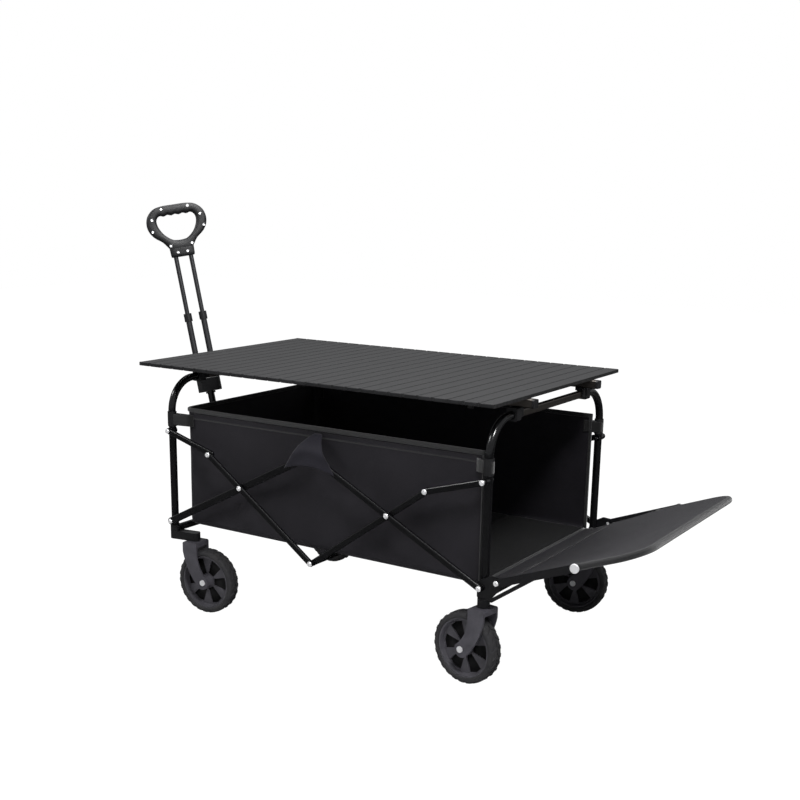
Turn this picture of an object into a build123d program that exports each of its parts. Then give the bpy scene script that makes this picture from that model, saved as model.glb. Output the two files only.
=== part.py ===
from build123d import *
import os
from math import atan2, cos, degrees, hypot, radians, sin

# A folding camp wagon, in millimetres. +X runs from the handle end to the tail end, +Z is up, and the
# wheels stand on z = 0. The two sides are alike, so most pieces are drawn at -Y and mirrored to +Y.
# The mid-point between the legs stands at mid_x, which puts the origin under the middle of the whole wagon.

# Overall layout
mid_x = -33.0
leg_half_x = 463.5
leg_y = 290.5
clearance = 0.3
front_x = mid_x - leg_half_x
tail_x = mid_x + leg_half_x

# End frames
tube_r = 9.5
tube_wall = 1.4
arch_z = 606.0
arch_bend_r = 80.0
arch_joint_y = 184.0
bar_width = 14.0
bar_height = 18.0
arch_collar_width = 22.0
arch_collar_top_z = 622.6
leg_joint_z = 507.0
leg_collar_height = 38.0
leg_collar_r = 11.5
leg_bottom_z = 210.0
crossbar_z = 214.0

# Folding linkage, in the side plane
pivot_low_z = 237.0
pivot_high_z = 476.8
peak_z = 475.6
knee_z = 208.0
cross_dx = 218.0
knuckle_dx = 319.0
long_arm_width = 19.0
short_arm_width = 15.0
link_width = 15.0
arm_t = 10.0
arm_round = 3.5
layer_gap = 0.6
boss_r = 8.0
pin_r = 4.0
running = 0.06
head_r = 6.5
head_top_r = 4.5
head_t = 3.0
knee_tube_r = 8.0

# Casters
wheel_r = 85.0
wheel_width = 38.0
rim_r = 70.0
hub_boss_r = 15.0
caster_trail = 40.0
axle_r = 5.0
fork_gap = 3.0
fork_t = 5.0
crown_z = 175.0
crown_t = 13.0
stem_r = 8.0
stem_top_z = 206.0
socket_r = 13.0
socket_bottom_z = 188.6
front_stem_dx = 59.5
front_stem_y = 280.0
front_yaw = 5.0
tail_stem_y = 296.0
tail_yaw = 8.0
window_count = 6

# Basket
basket_front_dx = -428.0
basket_tail_dx = 449.0
basket_half_y = 281.0
basket_bottom_z = 231.0
basket_top_z = 538.0
fabric_t = 3.0
mat_t = 6.0
strap_t = 2.0
strap_height = 26.0
strap_z = 455.0
flap_top_z = 520.0
flap_corner_z = 434.0
flap_half = 74.0
flap_point_z = 448.0

# Table
table_top_z = 651.0
table_front_dx = -537.0
table_tail_dx = 493.0
table_half_y = 328.0
slat_count = 27
slat_t = 8.0
slat_gap = 1.6
slat_wall = 1.5
rail_y = 170.0
rail_width = 22.0
rail_height = 20.0
rail_reach = 505.0
rail_cap_t = 5.0
clip_width = 12.0
clip_wall = 4.0
peg_slat = 24
peg_y = 262.0
peg_r = 7.0
peg_length = 18.0

# Tailgate
gate_pivot_dx = 36.5
gate_pivot_z = 253.0
gate_angle = 20.8
gate_knob_s = 196.9
gate_length = 355.0
gate_tube_r = 6.0
gate_tube_y = 297.0
gate_bend_r = 62.0
gate_plate_t = 4.0
gate_arm_width = 18.0
brace_foot = (26.5, -41.0)
brace_s = 112.0
knob_r = 10.5
knob_t = 4.0
gate_panel_start = 22.0

# Handle
handle_dx = -51.5
handle_z = 215.0
handle_lean = 13.5
handle_turn = -42.0
post_r = 9.5
eye_r = 11.0
eye_width = 16.0
ear_t = 5.0
yoke_s = 322.0
yoke_height = 26.0
post_top_s = 344.0
stop_t = 5.0
stop_r = 13.5
rod_spacing = 42.0
rod_r = 6.2
rod_running = 0.05
sleeve_r = 8.2
sleeve_bottom_s = 348.3
sleeve_top_s = 545.0
sleeve_collar_height = 22.0
sleeve_collar_r = 11.0
rod_bottom_s = 505.0
grip_s = 704.0
grip_height = 142.0
grip_width = 166.0
grip_half_t = 12.0
grip_bar = 25.0
socket_depth = 26.0
screw_r = 2.0
screw_head_r = 3.4
screw_head_t = 1.2
screw_depth = 7.0

# Layers of the linkage, outward from the leg
leg_face_y = leg_y + tube_r
inner_y = leg_face_y + layer_gap
outer_y = inner_y + arm_t + layer_gap
far_y = outer_y + arm_t
hole_r = pin_r + running

os.makedirs("parts", exist_ok=True)


def save(piece, name):
    """Label a finished piece and write it."""
    piece.part.label = name
    export_step(piece.part, f"parts/{name}.step")


def across(x, y, z):
    """A place at (x, y, z) whose own axis points out of the near side."""
    return Location((x, y, z), (90, 0, 0))


def rivet(x, z, start_y, end_y):
    """A rivet through the near side's plates, with its head on the outer end."""
    with Locations(across(x, -start_y, z)):
        Cylinder(pin_r, end_y - start_y, align=(Align.CENTER, Align.CENTER, Align.MIN))
    with Locations(across(x, -end_y, z)):
        Cone(head_r, head_top_r, head_t, align=(Align.CENTER, Align.CENTER, Align.MIN))


def arm(start, end, width, layer_y, holes):
    """One flat-sided tube of the linkage on the near side, between two pivots in the side plane."""
    length = hypot(end[0] - start[0], end[1] - start[1])
    turn = degrees(atan2(end[1] - start[1], end[0] - start[0]))
    with BuildPart() as bar:
        with BuildSketch(Plane.XZ.offset(layer_y)):
            with Locations(((start[0] + end[0]) / 2, (start[1] + end[1]) / 2)):
                SlotCenterToCenter(length, width, rotation=turn)
        extrude(amount=arm_t)
        fillet(bar.edges().filter_by(GeomType.LINE).filter_by(lambda e: e.length > width * 2), arm_round)
        with BuildSketch(Plane.XZ.offset(layer_y)):
            with Locations(*holes):
                Circle(hole_r)
        extrude(amount=arm_t, mode=Mode.SUBTRACT)
    return bar.part


def end_frame(end, leg_x, boss_reach):
    """The arch, bar, collars and legs of one end, with pivot bosses that reach out to boss_reach."""
    with BuildPart() as arch:
        with BuildLine() as route:
            FilletPolyline(
                (leg_x, -leg_y, leg_joint_z), (leg_x, -leg_y, arch_z), (leg_x, -arch_joint_y, arch_z),
                radius=arch_bend_r,
            )
        with BuildSketch(Plane((leg_x, -leg_y, leg_joint_z), x_dir=(1, 0, 0), z_dir=(0, 0, 1))):
            Circle(tube_r)
            Circle(tube_r - tube_wall, mode=Mode.SUBTRACT)
        sweep(path=route.line)
        mirror(about=Plane.XZ)
    save(arch, f"{end}_arch")

    with BuildPart() as arch_bar:
        with BuildSketch(Plane.XZ.offset(-arch_joint_y)):
            with Locations((leg_x, arch_z)):
                RectangleRounded(bar_width, bar_height, bar_width * 0.3)
                RectangleRounded(
                    bar_width - 2 * tube_wall, bar_height - 2 * tube_wall, bar_width * 0.2, mode=Mode.SUBTRACT
                )
        extrude(amount=2 * arch_joint_y)
    save(arch_bar, f"{end}_arch_bar")

    collar_bottom_z = arch_z - tube_r - 4
    with BuildPart() as collars:
        with BuildSketch(Plane.XZ.offset(arch_joint_y - arch_collar_width / 2)):
            with Locations((leg_x, (arch_collar_top_z + collar_bottom_z) / 2)):
                RectangleRounded(2 * tube_r + 8, arch_collar_top_z - collar_bottom_z, 4)
            with Locations((leg_x, arch_z)):
                RectangleRounded(bar_width, bar_height, bar_width * 0.3, mode=Mode.SUBTRACT)
        extrude(amount=arch_collar_width / 2)
        with BuildSketch(Plane.XZ.offset(arch_joint_y)):
            with Locations((leg_x, (arch_collar_top_z + collar_bottom_z) / 2)):
                RectangleRounded(2 * tube_r + 8, arch_collar_top_z - collar_bottom_z, 4)
            with Locations((leg_x, arch_z)):
                Circle(tube_r, mode=Mode.SUBTRACT)
        extrude(amount=arch_collar_width / 2)
        with BuildSketch(Plane.XY.offset(leg_joint_z - leg_collar_height / 2)):
            with Locations((leg_x, -leg_y)):
                Circle(leg_collar_r)
                Circle(tube_r, mode=Mode.SUBTRACT)
            with Locations((leg_x, -leg_face_y - layer_gap / 2)):
                Rectangle(
                    2 * leg_collar_r, leg_collar_r, align=(Align.CENTER, Align.MAX), mode=Mode.SUBTRACT
                )
        extrude(amount=leg_collar_height)
        mirror(about=Plane.XZ)
    save(collars, f"{end}_collars")

    with BuildPart() as legs:
        with Locations((leg_x, -leg_y, leg_bottom_z)):
            Cylinder(tube_r, leg_joint_z - leg_bottom_z, align=(Align.CENTER, Align.CENTER, Align.MIN))
            Cylinder(
                tube_r - tube_wall, leg_joint_z - leg_bottom_z, align=(Align.CENTER, Align.CENTER, Align.MIN),
                mode=Mode.SUBTRACT,
            )
        with Locations(*[across(leg_x, -(leg_y - tube_r), z) for z in (pivot_low_z, pivot_high_z)]):
            Cylinder(boss_r, boss_reach - leg_y + tube_r, align=(Align.CENTER, Align.CENTER, Align.MIN))
            Cylinder(
                pin_r, boss_reach - leg_y + tube_r, align=(Align.CENTER, Align.CENTER, Align.MIN),
                mode=Mode.SUBTRACT,
            )
        mirror(about=Plane.XZ)
    save(legs, f"{end}_legs")

    with BuildPart() as crossbar:
        with BuildSketch(Plane.XZ.offset(socket_r - leg_y)):
            with Locations((leg_x, crossbar_z)):
                Circle(tube_r)
                Circle(tube_r - tube_wall, mode=Mode.SUBTRACT)
        extrude(amount=2 * (leg_y - socket_r))
    save(crossbar, f"{end}_crossbar")


# Both end frames. The front linkage starts in the inner layer, and the tail's in the outer one.
end_frame("front", front_x, inner_y - clearance)
end_frame("tail", tail_x, outer_y - clearance)

# The corner brackets hold each leg's foot, the crossbar's end and the caster's stem.
bracket_top_z = crossbar_z + tube_r + 2.5
with BuildPart() as front_brackets:
    with BuildSketch(Plane.XY.offset(socket_bottom_z)):
        with Locations((front_x, -leg_y)):
            Circle(socket_r)
        with BuildLine():
            Polyline(
                (front_x, -leg_y - socket_r), (front_x + front_stem_dx, -front_stem_y - socket_r),
                (front_x + front_stem_dx, -front_stem_y + socket_r), (front_x, -leg_y + socket_r), close=True,
            )
        make_face()
        with Locations((front_x + front_stem_dx, -front_stem_y)):
            Circle(socket_r)
    extrude(amount=leg_bottom_z - socket_bottom_z)
    with Locations((front_x, -leg_y, leg_bottom_z)):
        Cylinder(socket_r, bracket_top_z - leg_bottom_z, align=(Align.CENTER, Align.CENTER, Align.MIN))
        Cylinder(
            tube_r, bracket_top_z - leg_bottom_z, align=(Align.CENTER, Align.CENTER, Align.MIN),
            mode=Mode.SUBTRACT,
        )
    with Locations(across(front_x, -(leg_y - tube_r), pivot_low_z)):
        Cylinder(boss_r, 4 * tube_r, align=(Align.CENTER, Align.CENTER, Align.MIN), mode=Mode.SUBTRACT)
    with Locations(across(front_x, -leg_y + socket_r + tube_r, crossbar_z)):
        Cylinder(tube_r, tube_r, align=(Align.CENTER, Align.CENTER, Align.MIN), mode=Mode.SUBTRACT)
    with Locations((front_x + front_stem_dx, -front_stem_y, socket_bottom_z)):
        Cylinder(
            stem_r + running, stem_top_z - socket_bottom_z, align=(Align.CENTER, Align.CENTER, Align.MIN),
            mode=Mode.SUBTRACT,
        )
    mirror(about=Plane.XZ)
save(front_brackets, "front_corner_brackets")

plate_y = leg_face_y + clearance
with BuildPart() as tail_brackets:
    with BuildSketch(Plane.XY.offset(socket_bottom_z)):
        with Locations((tail_x, -(leg_y + tail_stem_y) / 2)):
            SlotCenterToCenter(abs(tail_stem_y - leg_y), 2 * socket_r, rotation=90)
    extrude(amount=leg_bottom_z - clearance - socket_bottom_z)
    with Locations((tail_x, -leg_y, leg_bottom_z - clearance)):
        Cylinder(
            socket_r, bracket_top_z - leg_bottom_z + clearance, align=(Align.CENTER, Align.CENTER, Align.MIN)
        )
        Cylinder(
            tube_r, bracket_top_z - leg_bottom_z + clearance, align=(Align.CENTER, Align.CENTER, Align.MIN),
            mode=Mode.SUBTRACT,
        )
    with BuildSketch(Plane.XZ.offset(plate_y)):
        with BuildLine():
            Polyline(
                (tail_x - 12, leg_bottom_z), (tail_x + 20, leg_bottom_z),
                (tail_x + gate_pivot_dx + 13, gate_pivot_z - 8),
                (tail_x + gate_pivot_dx + 10, gate_pivot_z + 12),
                (tail_x + gate_pivot_dx - 14, gate_pivot_z + 14), (tail_x - 12, pivot_low_z + 12), close=True,
            )
        make_face()
        fillet(vertices(), 6)
        with Locations((tail_x, pivot_low_z)):
            Circle(boss_r, mode=Mode.SUBTRACT)
        with Locations((tail_x + gate_pivot_dx, gate_pivot_z)):
            Circle(pin_r, mode=Mode.SUBTRACT)
    extrude(amount=gate_plate_t)
    with BuildSketch(Plane.XZ.offset(leg_y)):
        with Locations((tail_x, (leg_bottom_z + bracket_top_z) / 2)):
            Rectangle(2 * tube_r, bracket_top_z - leg_bottom_z)
    extrude(amount=plate_y - leg_y)
    with Locations((tail_x, -leg_y, leg_bottom_z)):
        Cylinder(
            tube_r, bracket_top_z - leg_bottom_z, align=(Align.CENTER, Align.CENTER, Align.MIN),
            mode=Mode.SUBTRACT,
        )
    with Locations(across(tail_x, -(leg_y - tube_r), pivot_low_z)):
        Cylinder(boss_r, 6 * tube_r, align=(Align.CENTER, Align.CENTER, Align.MIN), mode=Mode.SUBTRACT)
    with Locations((tail_x, -tail_stem_y, socket_bottom_z)):
        Cylinder(
            stem_r + running, stem_top_z - socket_bottom_z, align=(Align.CENTER, Align.CENTER, Align.MIN),
            mode=Mode.SUBTRACT,
        )
    mirror(about=Plane.XZ)
save(tail_brackets, "tail_corner_brackets")

# The linkage's pivots, in the side plane
low_front = (front_x, pivot_low_z)
low_tail = (tail_x, pivot_low_z)
high_front = (front_x, pivot_high_z)
high_tail = (tail_x, pivot_high_z)
peak = (mid_x, peak_z)
knee = (mid_x, knee_z)
cross_z = pivot_low_z + (peak_z - pivot_low_z) * (leg_half_x - cross_dx) / leg_half_x
cross_front = (mid_x - cross_dx, cross_z)
cross_tail = (mid_x + cross_dx, cross_z)
knuckle_z = knee_z + (cross_z - knee_z) * knuckle_dx / cross_dx
knuckle_front = (mid_x - knuckle_dx, knuckle_z)
knuckle_tail = (mid_x + knuckle_dx, knuckle_z)

# Each entry gives an arm's name, its two ends, its width, its layer and its holes.
arms = (
    ("front_long_arms", low_front, peak, long_arm_width, inner_y, (low_front, cross_front, peak)),
    ("tail_long_arms", low_tail, peak, short_arm_width, outer_y, (low_tail, cross_tail, peak)),
    ("front_short_arms", knee, knuckle_front, short_arm_width, outer_y, (knee, cross_front, knuckle_front)),
    ("front_links", high_front, knuckle_front, link_width, inner_y, (high_front,)),
    ("tail_links", high_tail, knuckle_tail, link_width, outer_y, (high_tail, knuckle_tail)),
)
for name, start, end, width, layer_y, holes in arms:
    near_arm = arm(start, end, width, layer_y, holes)
    with BuildPart() as arm_pair:
        add(near_arm)
        mirror(about=Plane.XZ)
    save(arm_pair, name)

# The tail's short arms carry the cross tube that joins the two sides under the basket.
near_arm = arm(knee, knuckle_tail, short_arm_width, inner_y, (cross_tail,))
with BuildPart() as tail_short_arms:
    add(near_arm)
    mirror(about=Plane.XZ)
    with BuildSketch(Plane.XZ.offset(-inner_y - arm_round)):
        with Locations(knee):
            Circle(knee_tube_r - 1)
            Circle(knee_tube_r - 1 - tube_wall, mode=Mode.SUBTRACT)
    extrude(amount=2 * (inner_y + arm_round))
save(tail_short_arms, "tail_short_arms")

# Rivets: each one is fixed in one piece and turns in the others.
pin_gap = layer_gap - clearance
rivets = (
    ("front_leg_rivets", ((low_front, leg_y, outer_y - pin_gap), (high_front, leg_y, outer_y - pin_gap))),
    ("front_long_arm_rivets", ((peak, inner_y, far_y + clearance), (cross_front, inner_y, far_y + clearance))),
    ("tail_long_arm_rivets", ((cross_tail, inner_y, far_y),)),
    ("front_short_arm_rivets", ((knee, outer_y, far_y), (knuckle_front, outer_y, far_y))),
    ("tail_link_rivets", ((knuckle_tail, outer_y, far_y),)),
)
for name, pins in rivets:
    with BuildPart() as rivet_group:
        for (x, z), start_y, end_y in pins:
            rivet(x, z, start_y, end_y)
        mirror(about=Plane.XZ)
    save(rivet_group, name)

gate_arm_y = plate_y + gate_plate_t + clearance
gate_out_y = gate_arm_y + gate_plate_t
with BuildPart() as tail_leg_rivets:
    for (x, z) in (low_tail, high_tail):
        rivet(x, z, leg_y, far_y + clearance)
    rivet(tail_x + gate_pivot_dx, gate_pivot_z, plate_y, gate_out_y + clearance)
    mirror(about=Plane.XZ)
save(tail_leg_rivets, "tail_leg_rivets")

# Basket: a fabric tub, open at the top and at the tail, hung from the legs by four straps
with BuildPart() as basket:
    with BuildSketch(Plane.XY.offset(basket_bottom_z)):
        with BuildLine():
            Polyline(
                (mid_x + basket_tail_dx, -basket_half_y), (mid_x + basket_front_dx, -basket_half_y),
                (mid_x + basket_front_dx, basket_half_y), (mid_x + basket_tail_dx, basket_half_y), close=True,
            )
        make_face()
    extrude(amount=basket_top_z - basket_bottom_z)
    with BuildSketch(Plane.XY.offset(basket_bottom_z + fabric_t)):
        with Locations((mid_x + (basket_front_dx + basket_tail_dx) / 2 + fabric_t, 0)):
            Rectangle(basket_tail_dx - basket_front_dx, 2 * (basket_half_y - fabric_t))
    extrude(amount=basket_top_z, mode=Mode.SUBTRACT)
    strap_r = tube_r + clearance
    for leg_x, wall_x in ((front_x, mid_x + basket_front_dx), (tail_x, mid_x + basket_tail_dx)):
        for side in (-1, 1):
            with BuildSketch(Plane.XY.offset(strap_z - strap_height)):
                with Locations(((leg_x + wall_x) / 2, side * basket_half_y)):
                    Rectangle(abs(wall_x - leg_x) + fabric_t, fabric_t)
                with Locations((leg_x, side * leg_y)):
                    Circle(strap_r + strap_t)
                    Circle(strap_r, mode=Mode.SUBTRACT)
            extrude(amount=strap_height)
save(basket, "basket")

with BuildPart() as basket_floor:
    with BuildSketch(Plane.XY.offset(basket_bottom_z + fabric_t + clearance)):
        with Locations((mid_x + (basket_front_dx + basket_tail_dx) / 2, 0)):
            RectangleRounded(
                basket_tail_dx - basket_front_dx - 2 * fabric_t - 8, 2 * (basket_half_y - fabric_t) - 8, 10
            )
    extrude(amount=mat_t)
save(basket_floor, "basket_floor")

# Basket flaps: one hangs over the linkage's peak on each side, joined to the basket's hem by a tongue
flap_y = far_y + head_t + 2 * clearance
with BuildPart() as basket_flaps:
    with BuildSketch(Plane.XZ.offset(flap_y)):
        with BuildLine():
            Polyline(
                (mid_x - 14, flap_top_z), (mid_x + 14, flap_top_z), (mid_x + flap_half, flap_corner_z),
                (mid_x, flap_point_z), (mid_x - flap_half, flap_corner_z), close=True,
            )
        make_face()
    extrude(amount=strap_t)
    with BuildSketch(Plane.XZ.offset(basket_half_y + clearance)):
        with Locations((mid_x, flap_top_z)):
            Rectangle(28, fabric_t)
    extrude(amount=flap_y + strap_t - basket_half_y - clearance)
    mirror(about=Plane.XZ)
save(basket_flaps, "basket_flaps")

# Table: hollow slats across the wagon, on two rails that run along it
slat_pitch = (table_tail_dx - table_front_dx) / slat_count
with BuildPart() as table_slats:
    slat_xs = [mid_x + table_front_dx + (i + 0.5) * slat_pitch for i in range(slat_count)]
    with Locations(*[(x, 0, table_top_z) for x in slat_xs]):
        Box(
            slat_pitch - slat_gap, 2 * table_half_y, slat_t, align=(Align.CENTER, Align.CENTER, Align.MAX)
        )
    with Locations(*[(x, 0, table_top_z - slat_wall) for x in slat_xs]):
        Box(
            slat_pitch - slat_gap - 2 * slat_wall, 2 * (table_half_y - slat_wall), slat_t,
            align=(Align.CENTER, Align.CENTER, Align.MAX), mode=Mode.SUBTRACT,
        )
save(table_slats, "table_slats")

slat_bottom_z = table_top_z - slat_t
rail_z = slat_bottom_z - rail_height / 2
with BuildPart() as table_rails:
    with BuildSketch(Plane.YZ.offset(mid_x - rail_reach)):
        with Locations((-rail_y, rail_z), (rail_y, rail_z)):
            RectangleRounded(rail_width, rail_height, 3)
            RectangleRounded(
                rail_width - 2 * tube_wall, rail_height - 2 * tube_wall, 2, mode=Mode.SUBTRACT
            )
    extrude(amount=2 * rail_reach)
save(table_rails, "table_rails")

rail_bottom_z = rail_z - rail_height / 2
clip_half_x = bar_width / 2 + clearance + clip_wall
clip_y = arch_joint_y - arch_collar_width / 2 - clip_width / 2 - 2
clip_bottom_z = arch_z - bar_height / 2 + 2
with BuildPart() as table_fittings:
    for end in (-1, 1):
        with BuildSketch(Plane.YZ.offset(mid_x + end * rail_reach)):
            with Locations((-rail_y, rail_z), (rail_y, rail_z)):
                RectangleRounded(rail_width + 2, rail_height - 0.4, 4)
        extrude(amount=end * rail_cap_t)
    for leg_x, inner_wall in ((front_x, True), (tail_x, False)):
        with BuildSketch(Plane.XZ.offset(clip_y - clip_width / 2)):
            with Locations((leg_x, (rail_bottom_z + clip_bottom_z) / 2)):
                Rectangle(2 * clip_half_x, rail_bottom_z - clip_bottom_z)
            with Locations((leg_x, arch_z + bar_height / 2 + clearance)):
                Rectangle(
                    bar_width + 2 * clearance, bar_height + 8, align=(Align.CENTER, Align.MAX),
                    mode=Mode.SUBTRACT,
                )
            if not inner_wall:
                with Locations((leg_x + clearance, arch_z + bar_height / 2 + clearance)):
                    Rectangle(
                        2 * clip_half_x, 2 * bar_height, align=(Align.MAX, Align.MAX), mode=Mode.SUBTRACT
                    )
        extrude(amount=clip_width)
    with Locations((slat_xs[peg_slat], -peg_y, table_top_z - slat_wall)):
        Cylinder(peg_r, peg_length + slat_t - slat_wall, align=(Align.CENTER, Align.CENTER, Align.MAX))
    mirror(about=Plane.XZ)
save(table_fittings, "table_fittings")

# Tailgate, drawn in a plane through its hinge: s runs out along the gate and t is square to it
gate_pivot = Vector(tail_x + gate_pivot_dx, 0, gate_pivot_z)
gate_out = Vector(cos(radians(gate_angle)), 0, sin(radians(gate_angle)))
gate_side = Plane(gate_pivot, x_dir=gate_out, z_dir=(0, -1, 0))
gate_flat = Plane(gate_pivot, x_dir=gate_out, z_dir=gate_side.y_dir)

with BuildPart() as gate_arms:
    brace_turn = radians(-gate_angle)
    foot_s = (brace_foot[0] - gate_pivot_dx) * cos(brace_turn) - brace_foot[1] * sin(brace_turn)
    foot_t = (brace_foot[0] - gate_pivot_dx) * sin(brace_turn) + brace_foot[1] * cos(brace_turn)
    brace_length = hypot(brace_s - foot_s, foot_t)
    brace_rise = degrees(atan2(-foot_t, brace_s - foot_s))
    with BuildSketch(gate_side.offset(gate_arm_y)):
        with Locations((gate_knob_s / 2, 0)):
            SlotCenterToCenter(gate_knob_s, gate_arm_width)
        with Locations(((brace_s + foot_s) / 2, foot_t / 2)):
            SlotCenterToCenter(brace_length, gate_arm_width / 2, rotation=brace_rise)
        Circle(hole_r, mode=Mode.SUBTRACT)
        with Locations((gate_knob_s, 0)):
            Circle(pin_r, mode=Mode.SUBTRACT)
    extrude(amount=gate_plate_t)
    mirror(about=Plane.XZ)
save(gate_arms, "tailgate_arms")

gate_tube_s = gate_length - gate_tube_r
gate_tube_start = gate_knob_s - 60
with BuildPart() as gate_frame:
    with BuildLine(gate_flat) as gate_route:
        FilletPolyline(
            (gate_tube_start, -gate_tube_y), (gate_tube_s, -gate_tube_y), (gate_tube_s, gate_tube_y),
            (gate_tube_start, gate_tube_y), radius=gate_bend_r,
        )
    with BuildSketch(Plane(gate_route.line @ 0, x_dir=(0, 1, 0), z_dir=gate_out)):
        Circle(gate_tube_r)
        Circle(gate_tube_r - tube_wall, mode=Mode.SUBTRACT)
    sweep(path=gate_route.line)
save(gate_frame, "tailgate_frame")

with BuildPart() as gate_panel:
    with BuildSketch(gate_flat.offset(-fabric_t / 2)):
        panel_edge = gate_tube_r + clearance
        with BuildLine():
            panel_outline = FilletPolyline(
                (gate_panel_start, -(gate_tube_y - panel_edge)),
                (gate_tube_s - panel_edge, -(gate_tube_y - panel_edge)),
                (gate_tube_s - panel_edge, gate_tube_y - panel_edge),
                (gate_panel_start, gate_tube_y - panel_edge), radius=gate_bend_r - panel_edge,
            )
            Line(panel_outline @ 1, panel_outline @ 0)
        make_face()
    extrude(amount=fabric_t)
save(gate_panel, "tailgate_panel")

with BuildPart() as gate_knobs:
    with BuildSketch(gate_side.offset(gate_tube_y + gate_tube_r)):
        with Locations((gate_knob_s, 0)):
            Circle(pin_r)
    extrude(amount=gate_out_y - gate_tube_y - gate_tube_r)
    with BuildSketch(gate_side.offset(gate_out_y)):
        with Locations((gate_knob_s, 0)):
            Circle(knob_r)
    extrude(amount=knob_t)
    fillet(gate_knobs.faces().sort_by(Axis.Y)[0].edges(), 1.5)
    mirror(about=Plane.XZ)
save(gate_knobs, "tailgate_knobs")

# Handle: a bracket on the front crossbar, a hinged post, a turning yoke with two sleeves, and sliding rods
handle_base = Vector(front_x + handle_dx, 0, handle_z)
lean = radians(handle_lean)
handle_up = Vector(-sin(lean), 0, cos(lean))
post_plane = Plane(handle_base, x_dir=(cos(lean), 0, sin(lean)), z_dir=handle_up)
turn = radians(handle_turn)
turned = Plane(
    handle_base, x_dir=post_plane.x_dir * cos(turn) + post_plane.y_dir * sin(turn), z_dir=handle_up
)

ear_y = eye_width / 2 + clearance
with BuildPart() as handle_bracket:
    with BuildSketch(Plane.XZ.offset(-ear_y - ear_t)):
        with BuildLine():
            Polyline(
                (front_x, handle_z - eye_r), (handle_base.X, handle_z - eye_r),
                (handle_base.X, handle_z + eye_r), (front_x, handle_z + eye_r), close=True,
            )
        make_face()
        with Locations((handle_base.X, handle_z)):
            Circle(eye_r)
    extrude(amount=2 * (ear_y + ear_t))
    with Locations((handle_base.X, 0, handle_z)):
        Box(2 * eye_r + 16, 2 * ear_y, 4 * eye_r, mode=Mode.SUBTRACT)
    with Locations(across(handle_base.X, ear_y + ear_t, handle_z)):
        Cylinder(
            pin_r, 2 * (ear_y + ear_t), align=(Align.CENTER, Align.CENTER, Align.MIN), mode=Mode.SUBTRACT
        )
    with Locations(across(front_x, leg_y, crossbar_z)):
        Cylinder(tube_r, 2 * leg_y, align=(Align.CENTER, Align.CENTER, Align.MIN), mode=Mode.SUBTRACT)
save(handle_bracket, "handle_bracket")

with BuildPart() as hinge_pin:
    with Locations(across(handle_base.X, ear_y + ear_t, handle_z)):
        Cylinder(pin_r, 2 * (ear_y + ear_t), align=(Align.CENTER, Align.CENTER, Align.MIN))
    with Locations(
        across(handle_base.X, -(ear_y + ear_t), handle_z),
        Location((handle_base.X, ear_y + ear_t, handle_z), (-90, 0, 0)),
    ):
        Cylinder(head_r, head_t, align=(Align.CENTER, Align.CENTER, Align.MIN))
save(hinge_pin, "handle_hinge_pin")

with BuildPart() as handle_post:
    with BuildSketch(post_plane):
        Circle(post_r)
    extrude(amount=post_top_s)
    with BuildSketch(post_plane.offset(yoke_s - clearance - stop_t)):
        Circle(stop_r)
    extrude(amount=stop_t)
    with BuildSketch(post_plane.offset(2 * eye_r)):
        Circle(post_r - 2 * tube_wall)
    extrude(amount=post_top_s, mode=Mode.SUBTRACT)
    with Locations(across(handle_base.X, eye_width / 2, handle_z)):
        Cylinder(eye_r - 1, eye_width, align=(Align.CENTER, Align.CENTER, Align.MIN))
    for side in (-1, 1):
        with Locations((handle_base.X, side * (eye_width / 2 + post_r), handle_z)):
            Box(8 * eye_r, 2 * post_r, 2 * eye_r + 6, mode=Mode.SUBTRACT)
    with Locations(across(handle_base.X, eye_width, handle_z)):
        Cylinder(hole_r, 2 * eye_width, align=(Align.CENTER, Align.CENTER, Align.MIN), mode=Mode.SUBTRACT)
save(handle_post, "handle_post")

rod_half = rod_spacing / 2
with BuildPart() as handle_yoke:
    with BuildSketch(turned.offset(yoke_s)):
        SlotOverall(rod_spacing + 2 * sleeve_r + 8, 2 * post_r + 10, rotation=90)
    extrude(amount=yoke_height + 12)
    fillet(handle_yoke.edges().filter_by(GeomType.LINE, reverse=True), 2)
    with BuildSketch(turned.offset(yoke_s)):
        Circle(post_r + running)
    extrude(amount=post_top_s - yoke_s + clearance, mode=Mode.SUBTRACT)
    with BuildSketch(turned.offset(sleeve_bottom_s)):
        with Locations((0, -rod_half), (0, rod_half)):
            Circle(sleeve_r)
    extrude(amount=yoke_height, mode=Mode.SUBTRACT)
save(handle_yoke, "handle_yoke")

with BuildPart() as handle_sleeves:
    with BuildSketch(turned.offset(sleeve_bottom_s)):
        with Locations((0, -rod_half), (0, rod_half)):
            Circle(sleeve_r)
            Circle(rod_r + rod_running, mode=Mode.SUBTRACT)
    extrude(amount=sleeve_top_s - sleeve_bottom_s)
save(handle_sleeves, "handle_sleeves")

with BuildPart() as sleeve_collars:
    with BuildSketch(turned.offset(sleeve_top_s - sleeve_collar_height)):
        with Locations((0, -rod_half), (0, rod_half)):
            Circle(sleeve_collar_r)
        with Locations((0, -rod_half), (0, rod_half)):
            Circle(sleeve_r, mode=Mode.SUBTRACT)
    extrude(amount=sleeve_collar_height)
save(sleeve_collars, "handle_collars")

rod_top_s = grip_s + socket_depth
with BuildPart() as handle_rods:
    with BuildSketch(turned.offset(rod_bottom_s)):
        with Locations((0, -rod_half), (0, rod_half)):
            Circle(rod_r)
            Circle(rod_r - tube_wall, mode=Mode.SUBTRACT)
    extrude(amount=rod_top_s - rod_bottom_s)
save(handle_rods, "handle_rods")

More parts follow.
